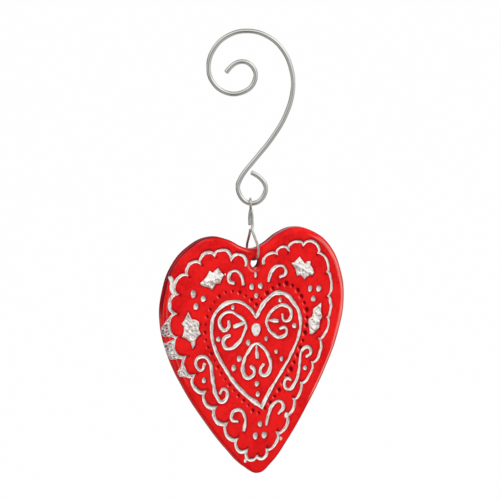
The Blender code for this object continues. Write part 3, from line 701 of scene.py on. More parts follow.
def silverMarks(step=0.15):
    # every silver line, dot and leaf as points: place, half width and the way its shade falls
    marks, inner = [], hollows["silverWay"]
    for name, line, halves, closed in silverLines:
        fine = evenLine(np.column_stack([line, halves]), step)
        if closed:
            joint = np.column_stack([line[[-1, 0]], halves[[-1, 0]]])
            fine = np.concatenate([fine, evenLine(joint, step)])
        way = hollows["borderWay"] if name == "silver_border" else inner
        marks += [(x, z, half, way) for x, z, half in fine]
    marks += [(x, z, pattern["dotWidth"] / 2 * size, inner) for x, z, size in pattern["dots"]]
    marks.append((*pattern["disc"], pattern["discWidth"] / 2, inner))
    for points in pattern["leaves"].values():
        marks += [(x, z, 0.45, inner) for x, z in leafSpots(np.array(points), 0.4)]
        marks += [(x, z, 0.02, inner) for x, z in evenLine(np.array(points + points[:1]), 0.2)]
    return marks


marks = silverMarks()
markTree = treeOf([mark[:2] for mark in marks])
beadTree = treeOf(beads)
# the small pits lie from the border's cusps towards the heart's middle and a little to the right
cusps = np.array([c[:2] for c in pattern["scallops"][1:]])
ways = units(np.array((0, -30)) - cusps)
pitTree = treeOf(cusps + hollows["pitInset"] * ways + (0.3, 0))


def relief(x, z):
    # how deep the surface lies under the plain front, and how much painted shade and painted highlight the
    # glass has there
    place, index, gap = beadTree.find((x, z, 0))
    swell = min(1.0, max(0.72, 0.84 + x * 0.012))    # beads on the right are larger, with darker painted shade
    radius = pattern["beadWidth"] / 2 * swell * (1 + 0.22 * math.sin(index * 2.4))
    depth = shade = highlight = 0.0
    if gap < radius * 1.8:
        depth = glass["beadDepth"] * max(0.0, 1 - (gap / radius) ** 2)
        away = np.dot((x - place[0], z - place[1]), hollows["beadWay"]) / radius
        # painted shade on each bead's right and a painted highlight on its left
        shade = hollows["beadShade"] * swell * clamped(away * 1.1 + 0.35)
        shade = min(0.95, shade * fading(max(0, gap / radius - 0.75), 0.8))
        highlight = hollows["beadHighlight"] * fading(abs(away + 0.75), 0.35) * fading(max(0, gap / radius - 0.9), 0.3)
    # painted shade in the small pits at the border's cusps
    share = pitTree.find((x, z, 0))[2] / hollows["pitRadius"]
    if share < 1:
        depth = max(depth, hollows["pitDepth"] * (1 - share ** 2))
        shade = max(shade, hollows["pitShade"] * (1 - share))
    clear = 9.0
    for place, index, gap in markTree.find_n((x, z, 0), 3):
        if gap - marks[index][2] < clear:
            clear = gap - marks[index][2]
            near, way = place, marks[index][3]
    if clear < hollows["reach"]:
        share = clamped(-clear / glass["grooveWall"])
        depth = max(depth, glass["grooveDepth"] * share * share * (3 - 2 * share))
        away = (x - near[0], z - near[1])
        facing = max(0.0, np.dot(away, way) / (math.hypot(*away) or 1))
        # painted shadow beside the silver, strongest on the side where it falls, and a painted dark line all
        # round
        beside = max(0.0, clear)
        strength = hollows["least"] + hollows["more"] * facing ** 1.2
        shade = max(shade, strength * fading(beside, hollows["reach"]) ** 1.2,
                    hollows["line"] * fading(beside, hollows["lineReach"]))
    # the lip has a painted dark ring at the hole's edge, painted shade on the right and a painted highlight
    # at its lower left
    aside, above = x - glass["lipMiddle"][0], z - glass["lipMiddle"][1]
    ring = math.hypot(aside, above)
    if ring < 4.5:
        depth -= glass["lip"] * math.exp(-((ring - glass["lipRadius"]) / glass["lipWidth"]) ** 2)
        right, low = max(0.0, aside / ring), max(0.0, np.dot((aside, above), (-0.6, -0.8)) / ring)
        shade = max(shade, 0.6 * fading(abs(ring - 2.1), 0.5),
                    0.6 * right ** 1.5 * fading(abs(ring - 3.1), 0.8))
        highlight = max(highlight, 0.45 * low * fading(abs(ring - 3.1), 0.45))
    return depth, shade, highlight


def fillRegion(loops, inner):
    # triangles between closed loops of points, over the inner points
    places = [Vector(p) for loop in loops for p in loop] + [Vector(p) for p in inner]
    edges, start = [], 0
    for loop in loops:
        count = len(loop)
        edges += [(start + i, start + (i + 1) % count) for i in range(count)]
        start += count
    _, _, faces, origins, _, _ = delaunay_2d_cdt(places, edges, [], 0, 1e-6)
    return [tuple(origins[i][0] for i in face) for face in faces]


rimMarks = [
    # painted shade, painted highlights and painted edge reflections: layer, from and to in degrees round the
    # heart, middle and half width in degrees round the edge (0 front, 90 side, 180 back), strength
    ("shade", 35, 212, 104, 8, 0.95), ("shade", 95, 168, 80, 34, 0.75),
    ("rimReflection", 50, 150, 94.5, 3.5, 0.25), ("rimReflection", 56, 90, 94.5, 3.5, 0.95),
    ("shade", 56, 90, 86, 6, 0.6), ("shade", 90, 150, 89, 4, 0.3),
    ("highlight", 150, 212, 14, 9, 0.16), ("highlight", 150, 205, 58, 7, 0.1),
    ("highlight", -55, 52, 20, 13, 0.55), ("highlight", -20, 58, 5, 7, 0.4), ("highlight", 90, 107, 30, 9, 0.4),
    ("highlight", 112, 200, 60, 7, 0.2), ("shade", 150, 200, 22, 10, 0.25), ("shade", 196, 268, 104, 7, 0.9),
    ("shade", 200, 262, 52, 9, 0.4), ("shade", 268, 280, 60, 20, 0.4), ("shade", 82, 96, 40, 30, 0.35),
    ("shade", -95, 30, 50, 24, 0.5), ("shade", 20, 56, 60, 22, 0.45),
]


def rimPaint(angle, turn):
    made = {"shade": 0.0, "highlight": 0.0, "rimReflection": 0.0}
    for layer, start, end, middle, half, strength in rimMarks:
        for lap in (-360, 0, 360):
            into = min(angle + lap - start, end - angle - lap)
            if into > 0:
                # the mark fades in over 6 degrees, wavers in strength and drifts across the edge
                wave = 0.85 + 0.5 * drifting((angle * 0.12, turn * 0.03, start))
                drift = middle + 4 * drifting((angle * 0.05, 4.4, middle))
                value = strength * wave * min(1, into / 6)
                value *= min(1.0, fading(abs(turn - drift), half) * 1.8)
                made[layer] = max(made[layer], value)
    # painted streaks of shade along the rim, standing in for light bent by the rounded glass
    streak = 0.3 * max(0.0, drifting((angle * 0.03, turn * 0.06, 9.1))) * min(1.0, turn / 30)
    return max(made["shade"], streak), made["highlight"], made["rimReflection"]


def edgeSection():
    # inset, level and turn of each loop, from the back face round the edge to the front face
    steps, walls = glass["roundSteps"], glass["wallRings"]
    backWall = glass["backY"] - glass["backRound"]
    frontWall = glass["frontY"] + glass["frontDrop"]
    quarter = [math.pi / 2 * k / steps for k in range(steps + 1)]
    section = [(glass["backRound"] * (1 - math.sin(turn)),
                backWall + glass["backRound"] * math.cos(turn), 180 - 80 * math.sin(turn) ** 0.5)
               for turn in quarter]
    section += [(0, backWall + (frontWall - backWall) * k / walls, 100 - 10 * k / walls)
                for k in range(1, walls)]
    section += [(glass["frontRound"] * (1 - math.sin(turn)),
                 frontWall - glass["frontDrop"] * math.cos(turn), math.degrees(turn))
                for turn in reversed(quarter)]
    return section


def holeSection():
    # middle, half width, half height and level of each loop, from the front face to the back face
    stations, flare = [], glass["holeFlare"]
    for (x, z, wide, tall), level, sign in ((glass["frontHole"], glass["frontY"], 1),
                                            (glass["backHole"], glass["backY"], -1)):
        part = []
        for k in range(6):
            turn = math.pi / 2 * k / 5
            more = flare * (1 - math.sin(turn))
            part.append((x, z, wide + more, tall + more, level + sign * flare * (1 - math.cos(turn))))
        stations += part if sign > 0 else part[::-1]
    return stations


def fillFace(points, edgeIds, holeIds, level, grid, rounding):
    # adds staggered spots on the flat of a face, and joins them to the edge's and the hole's loop
    edge, mouth = (np.array([(points[i][0], points[i][2]) for i in ids]) for ids in (edgeIds, holeIds))
    core, reach = (mouth.max(axis=0) + mouth.min(axis=0)) / 2, np.ptp(mouth, axis=0) / 2
    inner = []
    for row, z in enumerate(np.arange(-79, 12, grid * 0.866)):
        inner += [(x + grid / 2 * (row % 2), z) for x in np.arange(-38, 38, grid)]
    inner = np.array(inner)
    inner = inner[insideLoop(inner, outline)]
    inner = inner[np.hypot(*((inner - core) / (reach + grid * 0.5)).T) > 1]
    inner = inner[[edgeDistance(x, z) > rounding + grid * 0.5 for x, z in inner]]
    ids = edgeIds + holeIds + list(range(len(points), len(points) + len(inner)))
    points += [(x, level, z) for x, z in inner]
    triangles = fillRegion([edge, mouth], inner)
    places = np.concatenate([edge, mouth, inner])
    middles = np.array([places[list(t)].mean(axis=0) for t in triangles])
    good = (np.hypot(*((middles - core) / reach).T) > 0.998) & insideLoop(middles, edge)
    faces = [tuple(ids[i] for i in triangle) for triangle in np.array(triangles)[good]]
    return [face[::-1] for face in faces] if level > 0 else faces


def makeHeart():
    count = len(outline)
    ways = np.roll(outline, -1, axis=0) - np.roll(outline, 1, axis=0)
    inward = units(np.stack([ways[:, 1], -ways[:, 0]], axis=1))
    section = edgeSection()
    points = [(x, level, z) for inset, level, _ in section for x, z in outline + inward * inset]
    faces = ringFaces(len(section), count)
    edgeEnd = len(points)
    sides = glass["holeSides"]
    holeRings = holeSection()
    turns = [2 * math.pi * j / sides for j in range(sides)]
    points += [(x + wide * math.cos(turn), level, z + tall * math.sin(turn))
               for x, z, wide, tall, level in holeRings for turn in turns]
    holeEnd = len(points)
    faces += [tuple(edgeEnd + i for i in face) for face in ringFaces(len(holeRings), sides)]
    faces += fillFace(points, list(range(edgeEnd - count, edgeEnd)), list(range(edgeEnd, edgeEnd + sides)),
                      glass["frontY"], glass["frontGrid"], glass["frontRound"])
    faces += fillFace(points, list(range(count)), list(range(holeEnd - sides, holeEnd)),
                      glass["backY"], glass["backGrid"], glass["backRound"])
    points = np.array(points, float)
    shades, highlight, rimReflection = (np.zeros(len(points)) for _ in range(3))
    for i in range(edgeEnd):
        x, z = outline[i % count]
        angle = math.degrees(math.atan2(z + 25, x))    # about a point in the heart's middle
        shades[i], highlight[i], rimReflection[i] = rimPaint(angle, section[i // count][2])
    for i in range(edgeEnd, holeEnd):
        # the hole's wall has painted shade, lighter towards the front, and a painted highlight near the front
        # at the bottom
        x, y, z = points[i]
        way = math.atan2(z - glass["frontHole"][1], x - glass["frontHole"][0])
        front = clamped((-1.6 - y) / 1.0)
        shades[i] = (0.98 - 0.4 * front) * (0.8 + 0.2 * math.cos(way))
        highlight[i] = 0.8 * front * fading(abs(way + 1.5), 0.5)
    for i, (x, y, z) in enumerate(points):
        if y < 0 and not edgeEnd <= i < holeEnd:
            inset = edgeDistance(x, z) if i < edgeEnd else glass["frontRound"]
            # shade and glow here are painted shade and painted highlight
            depth, shade, glow = relief(x, z)
            slope = min(1.0, inset / glass["frontRound"] + 0.15)    # the relief ends towards the edge
            points[i][1] += depth * slope + 0.03 * drifting((x * 0.16, z * 0.16, 3.1))
            shades[i] = max(shades[i], shade)
            highlight[i] = max(highlight[i], glow)
    points[:, 2] += hang["holeZ"]
    piece = meshPiece("glassHeart", points, faces, "heart", redGlass,
                      {"shade": shades, "highlight": highlight, "rimReflection": rimReflection})
    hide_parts("glass_heart")
    return piece


heartPiece = makeHeart()
print("heart made", len(heartPiece.data.vertices))


# Silver lines, dots and leaves

silver = {
    # height of the rims over the glass (down is plus), depth of the gutter, and the silver's thickness
    "seat": -0.06, "dish": 0.2, "thick": 0.8, "strayDish": -0.15,
    "across": (-1, -0.85, -0.6, -0.3, 0, 0.3, 0.6, 0.85, 1),    # points across a line
    "wearAndShade": 1.4, "thin": 0.7, "blush": 0.3,    # strengths of the painted shade on the side away from the light, of the worn middle and of its red
}
lightSide = np.array((0.62, 0.78))    # a hollow's wall on this side turns away from the light and is painted in shade


def surfaceAt(x, z):
    return plainFront(edgeDistance(x, z)) + silver["seat"]


def layInlay(label, name, points, faces, look, wearAndShade, shades, flow):
    # points are in millimetres from the hole's centre; stray silver has no node to replace
    points = np.array(points)
    points[:, 2] += hang["holeZ"]
    piece = meshPiece(label, points, faces, "heart", look,
                      {"wearAndShade": wearAndShade, "shade": shades, "flow": flow})
    if name.startswith(("silver_", "holly_")):
        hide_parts(name)


def stripStations(line, halves, closed):
    # place, way and half width all along the line, with round ends
    count = len(line)
    around = np.roll(line, -1, axis=0) - np.roll(line, 1, axis=0)
    ways = units(around if closed else np.gradient(line, axis=0))
    steps = units(np.diff(line, axis=0))
    stretch = np.ones(count)
    for i in range(1, count - 1):    # wider where the line turns sharply, as a mitre is
        stretch[i] = min(1.5, 1 / max(0.35, abs(np.dot(steps[i], ways[i]))))
    stations = [(line[i], ways[i], halves[i] * stretch[i]) for i in range(count)]
    if closed:
        return stations
    for end, sign in ((0, -1), (count - 1, 1)):
        caps = []
        for turn in (25, 50, 72):
            reach = halves[end] * math.sin(math.radians(turn))
            caps.append((line[end] + ways[end] * sign * reach, ways[end],
                         halves[end] * math.cos(math.radians(turn))))
        stations = caps[::-1] + stations if end == 0 else stations + caps
    return stations


def makeStrip(name, line, halves, closed, dishDepth):
    # a shallow gutter of silver along the line
    stations = stripStations(line, halves, closed)
    points, wearAndShade, shades, flow = [], [], [], []
    seed = len(name)    # so that lines differ in their streaks
    run = seed * 7.0
    for number, (place, way, half) in enumerate(stations):
        run += np.linalg.norm(place - stations[number - 1][0]) if number else 0
        out = np.array((-way[1], way[0]))
        thin = clamped(0.5 + 1.7 * drifting((run * 0.3, 7.7, seed)))
        blush = clamped(0.1 + 1.8 * drifting((run * 0.35, 2.2, seed)))
        for a in silver["across"]:
            spot = place + out * a * half
            points.append((spot[0], surfaceAt(*spot) + dishDepth * (1 - a * a), spot[1]))
            # painted shade: grey on the side away from the light and dark red at that edge; the grey middle
            # and its red blush are wear
            facing = np.dot(out * a, lightSide)
            blotch = 0.9 + 1.1 * drifting((run * 0.5, a * 0.5, seed))
            core = fading(abs(a - 0.1), 0.42)
            wearAndShade.append(max(0.0, min(0.85, (facing - 0.05) * silver["wearAndShade"] * blotch),
                            silver["thin"] * core * thin))
            edgeOn = max(0.0, (abs(a) - 0.85) / 0.15)
            shades.append(max(0.45 * max(0.0, facing) ** 2 * edgeOn, silver["blush"] * core * blush))
            flow.append((a * half * 1.6, run * 0.45, seed))
        # the sunk sides and back are painted dark, as shade
        for a in (1, -1):
            spot = place + out * a * half
            points.append((spot[0], surfaceAt(*spot) + silver["thick"], spot[1]))
            wearAndShade.append(1)
            shades.append(1)
            flow.append((a * half * 1.6, run * 0.45, seed))
    sides = len(silver["across"]) + 2
    if closed:
        faces = ringFaces(len(stations), sides) + bandFaces((len(stations) - 1) * sides, 0, sides)
    else:
        faces = cappedRings(len(stations), sides)
    layInlay(name.replace("silver_", "silver-"), name, points, faces, silverLeaf, wearAndShade, shades, flow)


for name, line, halves, closed in silverLines:
    makeStrip(name, line, halves, closed, silver["dish"])
# a stray strip, which stands up from the glass
line = evenLine(smoothLine(pattern["edgeStrip"], perSpan=8)[:, :2], 0.3)
halves = swellAlong("edge-strip", len(line)) * pattern["edgeStripWidth"] / 2
makeStrip("edge-strip", line, halves, False, silver["strayDish"])
print("silver lines made")


dot = {
    "rings": 7, "sides": 28, "thick": 0.25, "dish": 0.3, "discDish": 0.06, "speckDish": -0.12,
    "tall": 1.14, "tallSpread": 0.07, "wave": 0.06,    # height over width, and how uneven the dots are
    "grey": 0.46, "strayGrey": 0.05, "discGrey": 0.12, "middleGrey": 0.3,
}


def makeDot(name, place, width, dish, number):
    # a small hollow lined with silver, grey round its lip, with a painted highlight at its lower left and
    # painted shade at its upper right
    rings, sides = dot["rings"], dot["sides"]
    points, wearAndShade, shades = [], [], []
    level = surfaceAt(*place)
    stretch = dot["tall"] + dot["tallSpread"] * math.sin(number * 2.1)
    isDisc = width >= 3
    for k in range(rings):
        share = 1 - k / rings
        for j in range(sides):
            turn = 2 * math.pi * j / sides
            wave = 1 + dot["wave"] * math.sin(3 * turn + number)
            way = np.array((math.cos(turn), math.sin(turn)))
            spot = np.array(place) + way * (1 / stretch, stretch) * width / 2 * share * wave
            points.append((spot[0], level + dish * (1 - share ** 2), spot[1]))
            facing = np.dot(way, lightSide)
            grey = 0.4 * facing * share + 0.4 * drifting((number * 1.7, turn, share))
            grey += dot["grey"] if dish > 0 else dot["strayGrey"]    # stray silver stands up and is whiter
            grey -= 0.7 * max(0.0, -facing) * share ** 3
            wearAndShade.append(dot["discGrey"] if isDisc else clamped(grey, 0.8))
            # painted dark red shade at the lip's upper right
            shades.append(0.3 * max(0.0, facing) ** 1.5 * max(0.0, (share - 0.8) / 0.2))
    middle = len(points)
    points.append((place[0], level + dish, place[1]))
    points += [(x, level + dish + dot["thick"], z) for x, _, z in points[:sides]]
    # the sunk side and back are painted dark, as shade
    wearAndShade += [dot["discGrey"] if isDisc else dot["middleGrey"]] + [1] * sides
    shades += [0] + [1] * sides
    back = middle + 1
    last = (rings - 1) * sides
    faces = ringFaces(rings, sides) + [(last + j, last + (j + 1) % sides, middle) for j in range(sides)]
    faces += bandFaces(back, 0, sides) + [tuple(reversed(range(back, back + sides)))]
    flow = [(p[0] * 0.9, p[2] * 0.9, number * 3.3) for p in points]
    layInlay(name.replace("silver_", "silver-"), name, points, faces, silverLeaf, wearAndShade, shades, flow)


for number, (x, z, size) in enumerate(pattern["dots"], start=1):
    makeDot(f"silver_dot_{number:02d}", (x, z), pattern["dotWidth"] * size, dot["dish"], number)
makeDot("silver_centre_disc", pattern["disc"], pattern["discWidth"], dot["discDish"], 0)
for number, (x, z, width) in enumerate(pattern["specks"], start=1):
    makeDot(f"speck-{number}", (x, z), width, dot["speckDish"], number)
print("silver dots made")


leaf = {
    "grid": 0.28, "thick": 0.6, "bevel": 0.6,    # the foil rises from its outline over the bevel
    # heights of the rib, the side veins and the crumples, and the veins' wave in radians a millimetre
    "rib": 0.28, "ribWidth": 0.35, "vein": 0.26, "veinPace": 2.1, "crumple": 0.8,
}


def makeLeaf(name, points, vein):
    # crumpled foil with a rib along the vein and side veins
    grid = leaf["grid"]
    loop = evenLine(np.array(points + points[:1]), grid)[:-1]
    inner = leafSpots(loop, grid, order="ij")
    inner = inner[[np.linalg.norm(loop - p, axis=1).min() > grid * 0.55 for p in inner]]
    triangles = fillRegion([loop], inner)
    places = np.concatenate([loop, inner])
    middles = np.array([places[list(t)].mean(axis=0) for t in triangles])
    good = insideLoop(middles, loop)
    a, b = (np.array(p) for p in vein)
    span = (b - a) / np.linalg.norm(b - a)
    out = np.array((-span[1], span[0]))
    core = loop.mean(axis=0)
    level = surfaceAt(*core)

    def lift(place):
        along, aside = np.dot(place - a, span), np.dot(place - a, out)
        rib = math.exp(-(aside / leaf["ribWidth"]) ** 2) * leaf["rib"]
        ripple = max(0.0, math.sin((along - abs(aside) * 0.9) * leaf["veinPace"])) ** 2
        crumple = abs(drifting((place[0] * 0.7, place[1] * 0.7, a[0]))) * leaf["crumple"]
        return rib + ripple * leaf["vein"] * min(1.0, abs(aside) / 0.6) + crumple

    spots, wearAndShade, shades = [], [], []
    for i, place in enumerate(places):
        aside = np.dot(place - a, out)
        edge = 0.0 if i < len(loop) else min(1.0, np.linalg.norm(loop - place, axis=1).min() / leaf["bevel"])
        spots.append((place[0], level - (0.1 + lift(place)) * edge, place[1]))
        # painted shade: foil that rises towards the light turns its back on it, one side of the vein is
        # painted dimmer and a crease beside it darker
        slope = (lift(place + lightSide * 0.15) - lift(place - lightSide * 0.15)) / 0.3
        sideShade = 0.2 * clamped(-aside / 0.3)
        creaseShade = 0.6 * fading(abs(aside + 0.3), 0.18)
        wearAndShade.append(clamped(0.04 + 0.55 * slope * edge + max(sideShade, creaseShade), 0.8))
        tip = np.linalg.norm(place - core) / 5
        blush = max(0.0, drifting((place[0] * 0.5, place[1] * 0.5, 5.5 + a[0])) + 0.2 * tip)
        shades.append(min(0.4, 0.6 * blush * tip))
    skirt, count = len(spots), len(loop)
    spots += [(x, level + leaf["thick"], z) for x, z in loop]
    # the sunk edge is painted dark, as shade
    wearAndShade += [1] * count
    shades += [0.6] * count
    faces = [t for t, ok in zip(triangles, good) if ok]
    faces += [(j, skirt + j, skirt + (j + 1) % count, (j + 1) % count) for j in range(count)]
    faces.append(tuple(range(skirt, skirt + count)))
    flow = [(p[0] * 0.7, p[2] * 0.7, p[1]) for p in spots]
    layInlay(name.replace("_", "-"), name, spots, faces, crinkledLeaf, wearAndShade, shades, flow)


patch = {
    # heights over the glass of the silver, its folds and its back; how far down the side wall it can reach
    "rows": 12, "step": 0.25, "seat": 0.07, "fold": 0.3, "back": -0.5, "wallReach": 2.2,
    "spreads": [
        # number of the scallop, how far towards the edge (1) and on round the side (to 2), where along
        # the scallop the patch starts and ends, how slanted each of these ends is, how dark the painted shade
        # in its folds and its specks are
        (5, 0.3, 0.0, 0.75, 0.16, 0.1, 1.2), (6, 1.8, 0.2, 0.86, 0.5, 0.15, 2.2),
        (7, 1.9, 0.06, 0.85, 0.16, 0.2, 1.6), (8, 0.9, 0.28, 0.82, 0.16, 0.2, 1.9)],
}


def besideEdge(foot, outward, room, reach):
    # a place in the plane across the edge and the way out of the glass there; room is how far
    # inside the outline the patch starts
    if reach > 1:
        down = patch["wallReach"] * (reach - 1)
        return foot, glass["frontY"] + glass["frontDrop"] + down, outward, 0.0
    inset = room * (1 - reach)
    past = fading(inset, glass["frontRound"])
    across, ahead = past / glass["frontRound"], math.sqrt(1 - past * past) / glass["frontDrop"]
    size = math.hypot(across, ahead)
    return foot - outward * inset, plainFront(inset), outward * across / size, -ahead / size


def makePatch(number, scallop, share, start, end, startSlant, endSlant, dark):
    # crinkled silver that spreads from a scallop over the rounded edge of the glass
    rows, perArc = patch["rows"], pattern["arcSteps"]
    arc = evenLine(scallopLine()[0][scallop * perArc:(scallop + 1) * perArc + 1], patch["step"])
    count = len(arc)
    spots, wearAndShade, shades = [], [], []
    for isFront in (True, False):
        for i, base in enumerate(arc):
            along = i / (count - 1)
            reach = share * clamped(min((along - start) / startSlant + 0.06, (end - along) / endSlant + 0.06))
            foot = outline[outlineTree.find((*base, 0))[1]]
            room = np.linalg.norm(base - foot)
            ragged = reach * (1 + 0.12 * drifting((i * 0.4, number, 2.2)))
            for k in range(rows + 1):
                place, level, out, ahead = besideEdge(foot, (foot - base) / room, room, ragged * k / rows)
                middle = min(1.0, 4 * min(k / rows, 1 - k / rows)) * min(1.0, reach * 2)
                fold = drifting((place[0] * 1.1, level * 1.5, place[1] * 1.6 + number * 5.0))
                rise = patch["seat"] + patch["fold"] * max(0.0, fold + 0.1) * middle
                rise = rise if isFront else patch["back"]
                place = place + out * rise
                spots.append((place[0], level + ahead * rise, place[1]))
                grain = drifting((place[0] * 2.1, level * 2.1, place[1] * 2.1 + number + 0.5))
                near = dark * (1.15 - 0.8 * k / rows)    # painted shade in the folds and the specks are darker beside the scallop than at the edge
                # painted shade in the hollows of the folds
                wearAndShade.append(clamped((0.05 - fold * 1.3) * near, 0.8))
                shades.append(clamped((grain - 0.16) * 6, 0.9) * middle * near)
    width = rows + 1
    half = count * width
    faces = []
    for i in range(count - 1):
        for k in range(rows):
            a = i * width + k
            faces.append((a, a + 1, a + width + 1, a + width))
            faces.append((half + a, half + a + width, half + a + width + 1, half + a + 1))
    rim = [i * width for i in range(count)] + [(count - 1) * width + k for k in range(1, width)]
    rim += [i * width + rows for i in range(count - 2, -1, -1)] + [k for k in range(rows - 1, 0, -1)]
    faces += [(a, b, half + b, half + a) for a, b in zip(rim, rim[1:] + rim[:1])]
    flow = [(p[0] * 0.9, p[2] * 0.9, number) for p in spots]
    name = f"edge-patch-{number}"
    layInlay(name, name, spots, faces, crinkledLeaf, wearAndShade, shades, flow)


for number, spread in enumerate(patch["spreads"], start=1):
    makePatch(number, *spread)
print("edge patches made")

for name, points in pattern["leaves"].items():
    makeLeaf(name, points, pattern["veins"][name])
print("leaves made")


# Studio

studio = {
    "floorZ": -0.42, "floorNear": 0.6, "floorReach": 8.0, "white": 1.0, "floorShare": 0.99,
    "soft": 0.34, "front": (-0.46, -0.866, 0.198), "right": (0.883, -0.469, 0.0),
    # brightness of the mirrored room from behind the ornament round to the front
    "room": [(0.0, 0.6), (0.12, 0.55), (0.36, 0.5), (0.66, 0.4), (0.82, 0.85), (0.9, 0.6), (1.0, 0.5)],
    # and from straight down to straight up
    "height": [(0.0, 0.6), (0.1, 0.5), (0.25, 0.42), (0.5, 0.6), (0.6, 0.72), (0.7, 1.0), (0.86, 1.0),
               (0.94, 0.46)],
    "roomStrength": 2.0, "roomLeftRight": (0.22, 0.82),    # more to the right, and in the middle
    # a dark strip upright behind the camera: its half width from full to none, the share of light
    # left in it, where it starts towards the front, and where it ends upwards
    "strip": (0.08, 0.22), "stripLight": 0.35, "stripFront": (0.5, 0.65), "stripTop": (0.56, 0.66),
    # the dim corner behind the ornament on the left: the share of light lost, and where it ends
    "cornerLoss": 0.7, "cornerSide": (-0.85, -0.35), "cornerBack": (0.25, 0.4),
}

view = {
    "turn": 28, "rise": 11.4, "roll": 1.2,     # degrees to the left of the front, above it, and tilt
    "distance": 0.8, "pixel": 0.00036,         # metres, and metres a pixel at the resting point
    "frame": 500, "restAt": (247, 33), "sensor": 36,
}


def mixShaders(look, factor, first, second):
    mix = addNode(look, "ShaderNodeMixShader")
    for socket, source in zip(mix.inputs, (factor, first, second)):
        join(look, source, socket)
    return mix.outputs[0]


def makeBackdropMaterial():
    look, shader = newMaterial("paleStage", (0.9, 0.9, 0.9), 0.8)
    glow = addNode(look, "ShaderNodeEmission", Strength=studio["white"])
    path = addNode(look, "ShaderNodeLightPath")
    seen = calc(look, "MAXIMUM", path.outputs["Is Camera Ray"], path.outputs["Is Glossy Ray"])
    seen = calc(look, "MAXIMUM", seen, path.outputs["Is Transmission Ray"])
    seen = calc(look, "MULTIPLY", seen, studio["floorShare"])
    shown = mixShaders(look, seen, shader.outputs[0], glow.outputs[0])
    join(look, shown, look.node_tree.nodes["Material Output"].inputs["Surface"])
    return look


def makeStage():
    near, reach = studio["floorNear"], studio["floorReach"]
    mesh = bpy.data.meshes.new("floor")
    corners = [(-reach, near), (reach, near), (reach, reach), (-reach, reach)]
    mesh.from_pydata([(x, y, 0) for x, y in corners], [], [(0, 1, 2, 3)])
    mesh.materials.append(makeBackdropMaterial())
    floor = bpy.data.objects.new("floor", mesh)
    floor.location.z = studio["floorZ"]
    floor.rotation_euler.z = -math.radians(view["turn"])
    bpy.context.scene.collection.objects.link(floor)


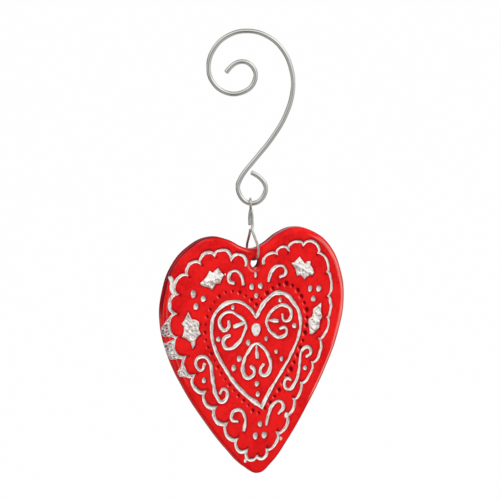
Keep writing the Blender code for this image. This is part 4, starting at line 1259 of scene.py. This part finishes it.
def makeWorld():
    world = bpy.data.worlds.new("studio")
    bpy.context.scene.world = world
    world.use_nodes = True
    world.node_tree.nodes.clear()
    path = addNode(world, "ShaderNodeLightPath")
    around = addNode(world, "ShaderNodeTexCoord").outputs["Generated"]
    soft, room, white = (addNode(world, "ShaderNodeBackground", Color=(1, 1, 1, 1), Strength=strength)
                         for strength in (studio["soft"], 1, 1))

    def towards(direction):
        aim = addNode(world, "ShaderNodeVectorMath", operation="DOT_PRODUCT")
        aim.inputs[1].default_value = direction
        join(world, around, aim.inputs[0])
        return aim.outputs["Value"]

    def ramped(value, start, end, low, high):
        node = addNode(world, "ShaderNodeMapRange")
        for socket, setting in zip(list(node.inputs)[1:5], (start, end, low, high)):
            socket.default_value = setting
        join(world, value, node.inputs[0])
        return node.outputs[0]

    # mirrored rays see a white backdrop behind the ornament and a room that is brighter on the right
    facing = calc(world, "MULTIPLY_ADD", towards(studio["front"]), 0.5, 0.5)
    height = calc(world, "MULTIPLY_ADD", towards((0, 0, 1)), 0.5, 0.5)
    side = towards(studio["right"])
    glows = [colourSteps(world, factor, [(place, (value,) * 3) for place, value in studio[key]])
             for factor, key in ((facing, "room"), (height, "height"))]
    join(world, mixColours(world, 1.0, *glows, blend="MULTIPLY"), room.inputs["Color"])
    strip = ramped(calc(world, "ABSOLUTE", side, 0), *studio["strip"], 1 - studio["stripLight"], 0)
    strip = calc(world, "MULTIPLY", strip, ramped(facing, *studio["stripFront"], 0, 1))
    strip = calc(world, "MULTIPLY", strip, ramped(height, *studio["stripTop"], 1, 0))
    corner = calc(world, "MULTIPLY", ramped(side, *studio["cornerSide"], studio["cornerLoss"], 0),
                  ramped(facing, *studio["cornerBack"], 1, 0))
    strip = calc(world, "MAXIMUM", strip, corner)
    wall = calc(world, "MULTIPLY_ADD", side, *studio["roomLeftRight"])
    wall = calc(world, "MULTIPLY", wall, calc(world, "SUBTRACT", 1, strip))
    join(world, calc(world, "MULTIPLY", wall, studio["roomStrength"]), room.inputs["Strength"])

    shown = mixShaders(world, path.outputs["Is Glossy Ray"], soft.outputs[0], room.outputs[0])
    for ray in ("Is Transmission Ray", "Is Camera Ray"):
        shown = mixShaders(world, path.outputs[ray], shown, white.outputs[0])
    join(world, shown, addNode(world, "ShaderNodeOutputWorld").inputs["Surface"])


lamps = [
    # name, place in metres, width, height, power
    ("stripLamp", (0.06, -0.95, 0.10), 0.24, 1.1, 4.5),
    ("keyLamp", (0.50, -0.55, 0.62), 0.36, 0.36, 4.8),
    ("sideLamp", (0.85, 0.02, 0.0), 0.14, 0.55, 1.2),
    ("fillLamp", (-0.9, -0.05, 0.0), 0.4, 0.7, 3.2),
]


def makeLamps():
    for name, place, width, height, power in lamps:
        data = bpy.data.lights.new(name, "AREA")
        data.shape = "RECTANGLE"
        data.size = width
        data.size_y = height
        data.energy = power
        lamp = bpy.data.objects.new(name, data)
        lamp.location = place
        aim = Vector((0, 0, -0.1)) - Vector(place)    # towards the heart
        lamp.rotation_euler = aim.to_track_quat("-Z", "Y").to_euler()
        lamp.visible_glossy = False    # what the wires mirror is the room in the world
        bpy.context.scene.collection.objects.link(lamp)


def makeCamera():
    turn, rise, roll = (math.radians(view[key]) for key in ("turn", "rise", "roll"))
    pixel, middle = view["pixel"], view["frame"] / 2
    right = Vector((math.cos(turn), -math.sin(turn), 0))
    ahead = Vector((math.sin(turn) * math.cos(rise), math.cos(turn) * math.cos(rise), -math.sin(rise)))
    up = right.cross(ahead)
    right, up = math.cos(roll) * right - math.sin(roll) * up, math.sin(roll) * right + math.cos(roll) * up
    across, down = view["restAt"]
    target = -((across - middle) * pixel * right - (down - middle) * pixel * up)
    data = bpy.data.cameras.new("photoView")
    data.sensor_width = view["sensor"]
    data.lens = view["distance"] / pixel / view["frame"] * view["sensor"]
    camera = bpy.data.objects.new("photoView", data)
    place = target - ahead * view["distance"]
    rows = ((*right, 0), (*up, 0), (*-ahead, 0), (*place, 1))
    camera.matrix_world = Matrix(rows).transposed()
    bpy.context.scene.collection.objects.link(camera)
    bpy.context.scene.camera = camera


makeStage()
makeWorld()
makeLamps()
makeCamera()
bpy.context.scene.view_settings.view_transform = "Standard"
print("studio made")
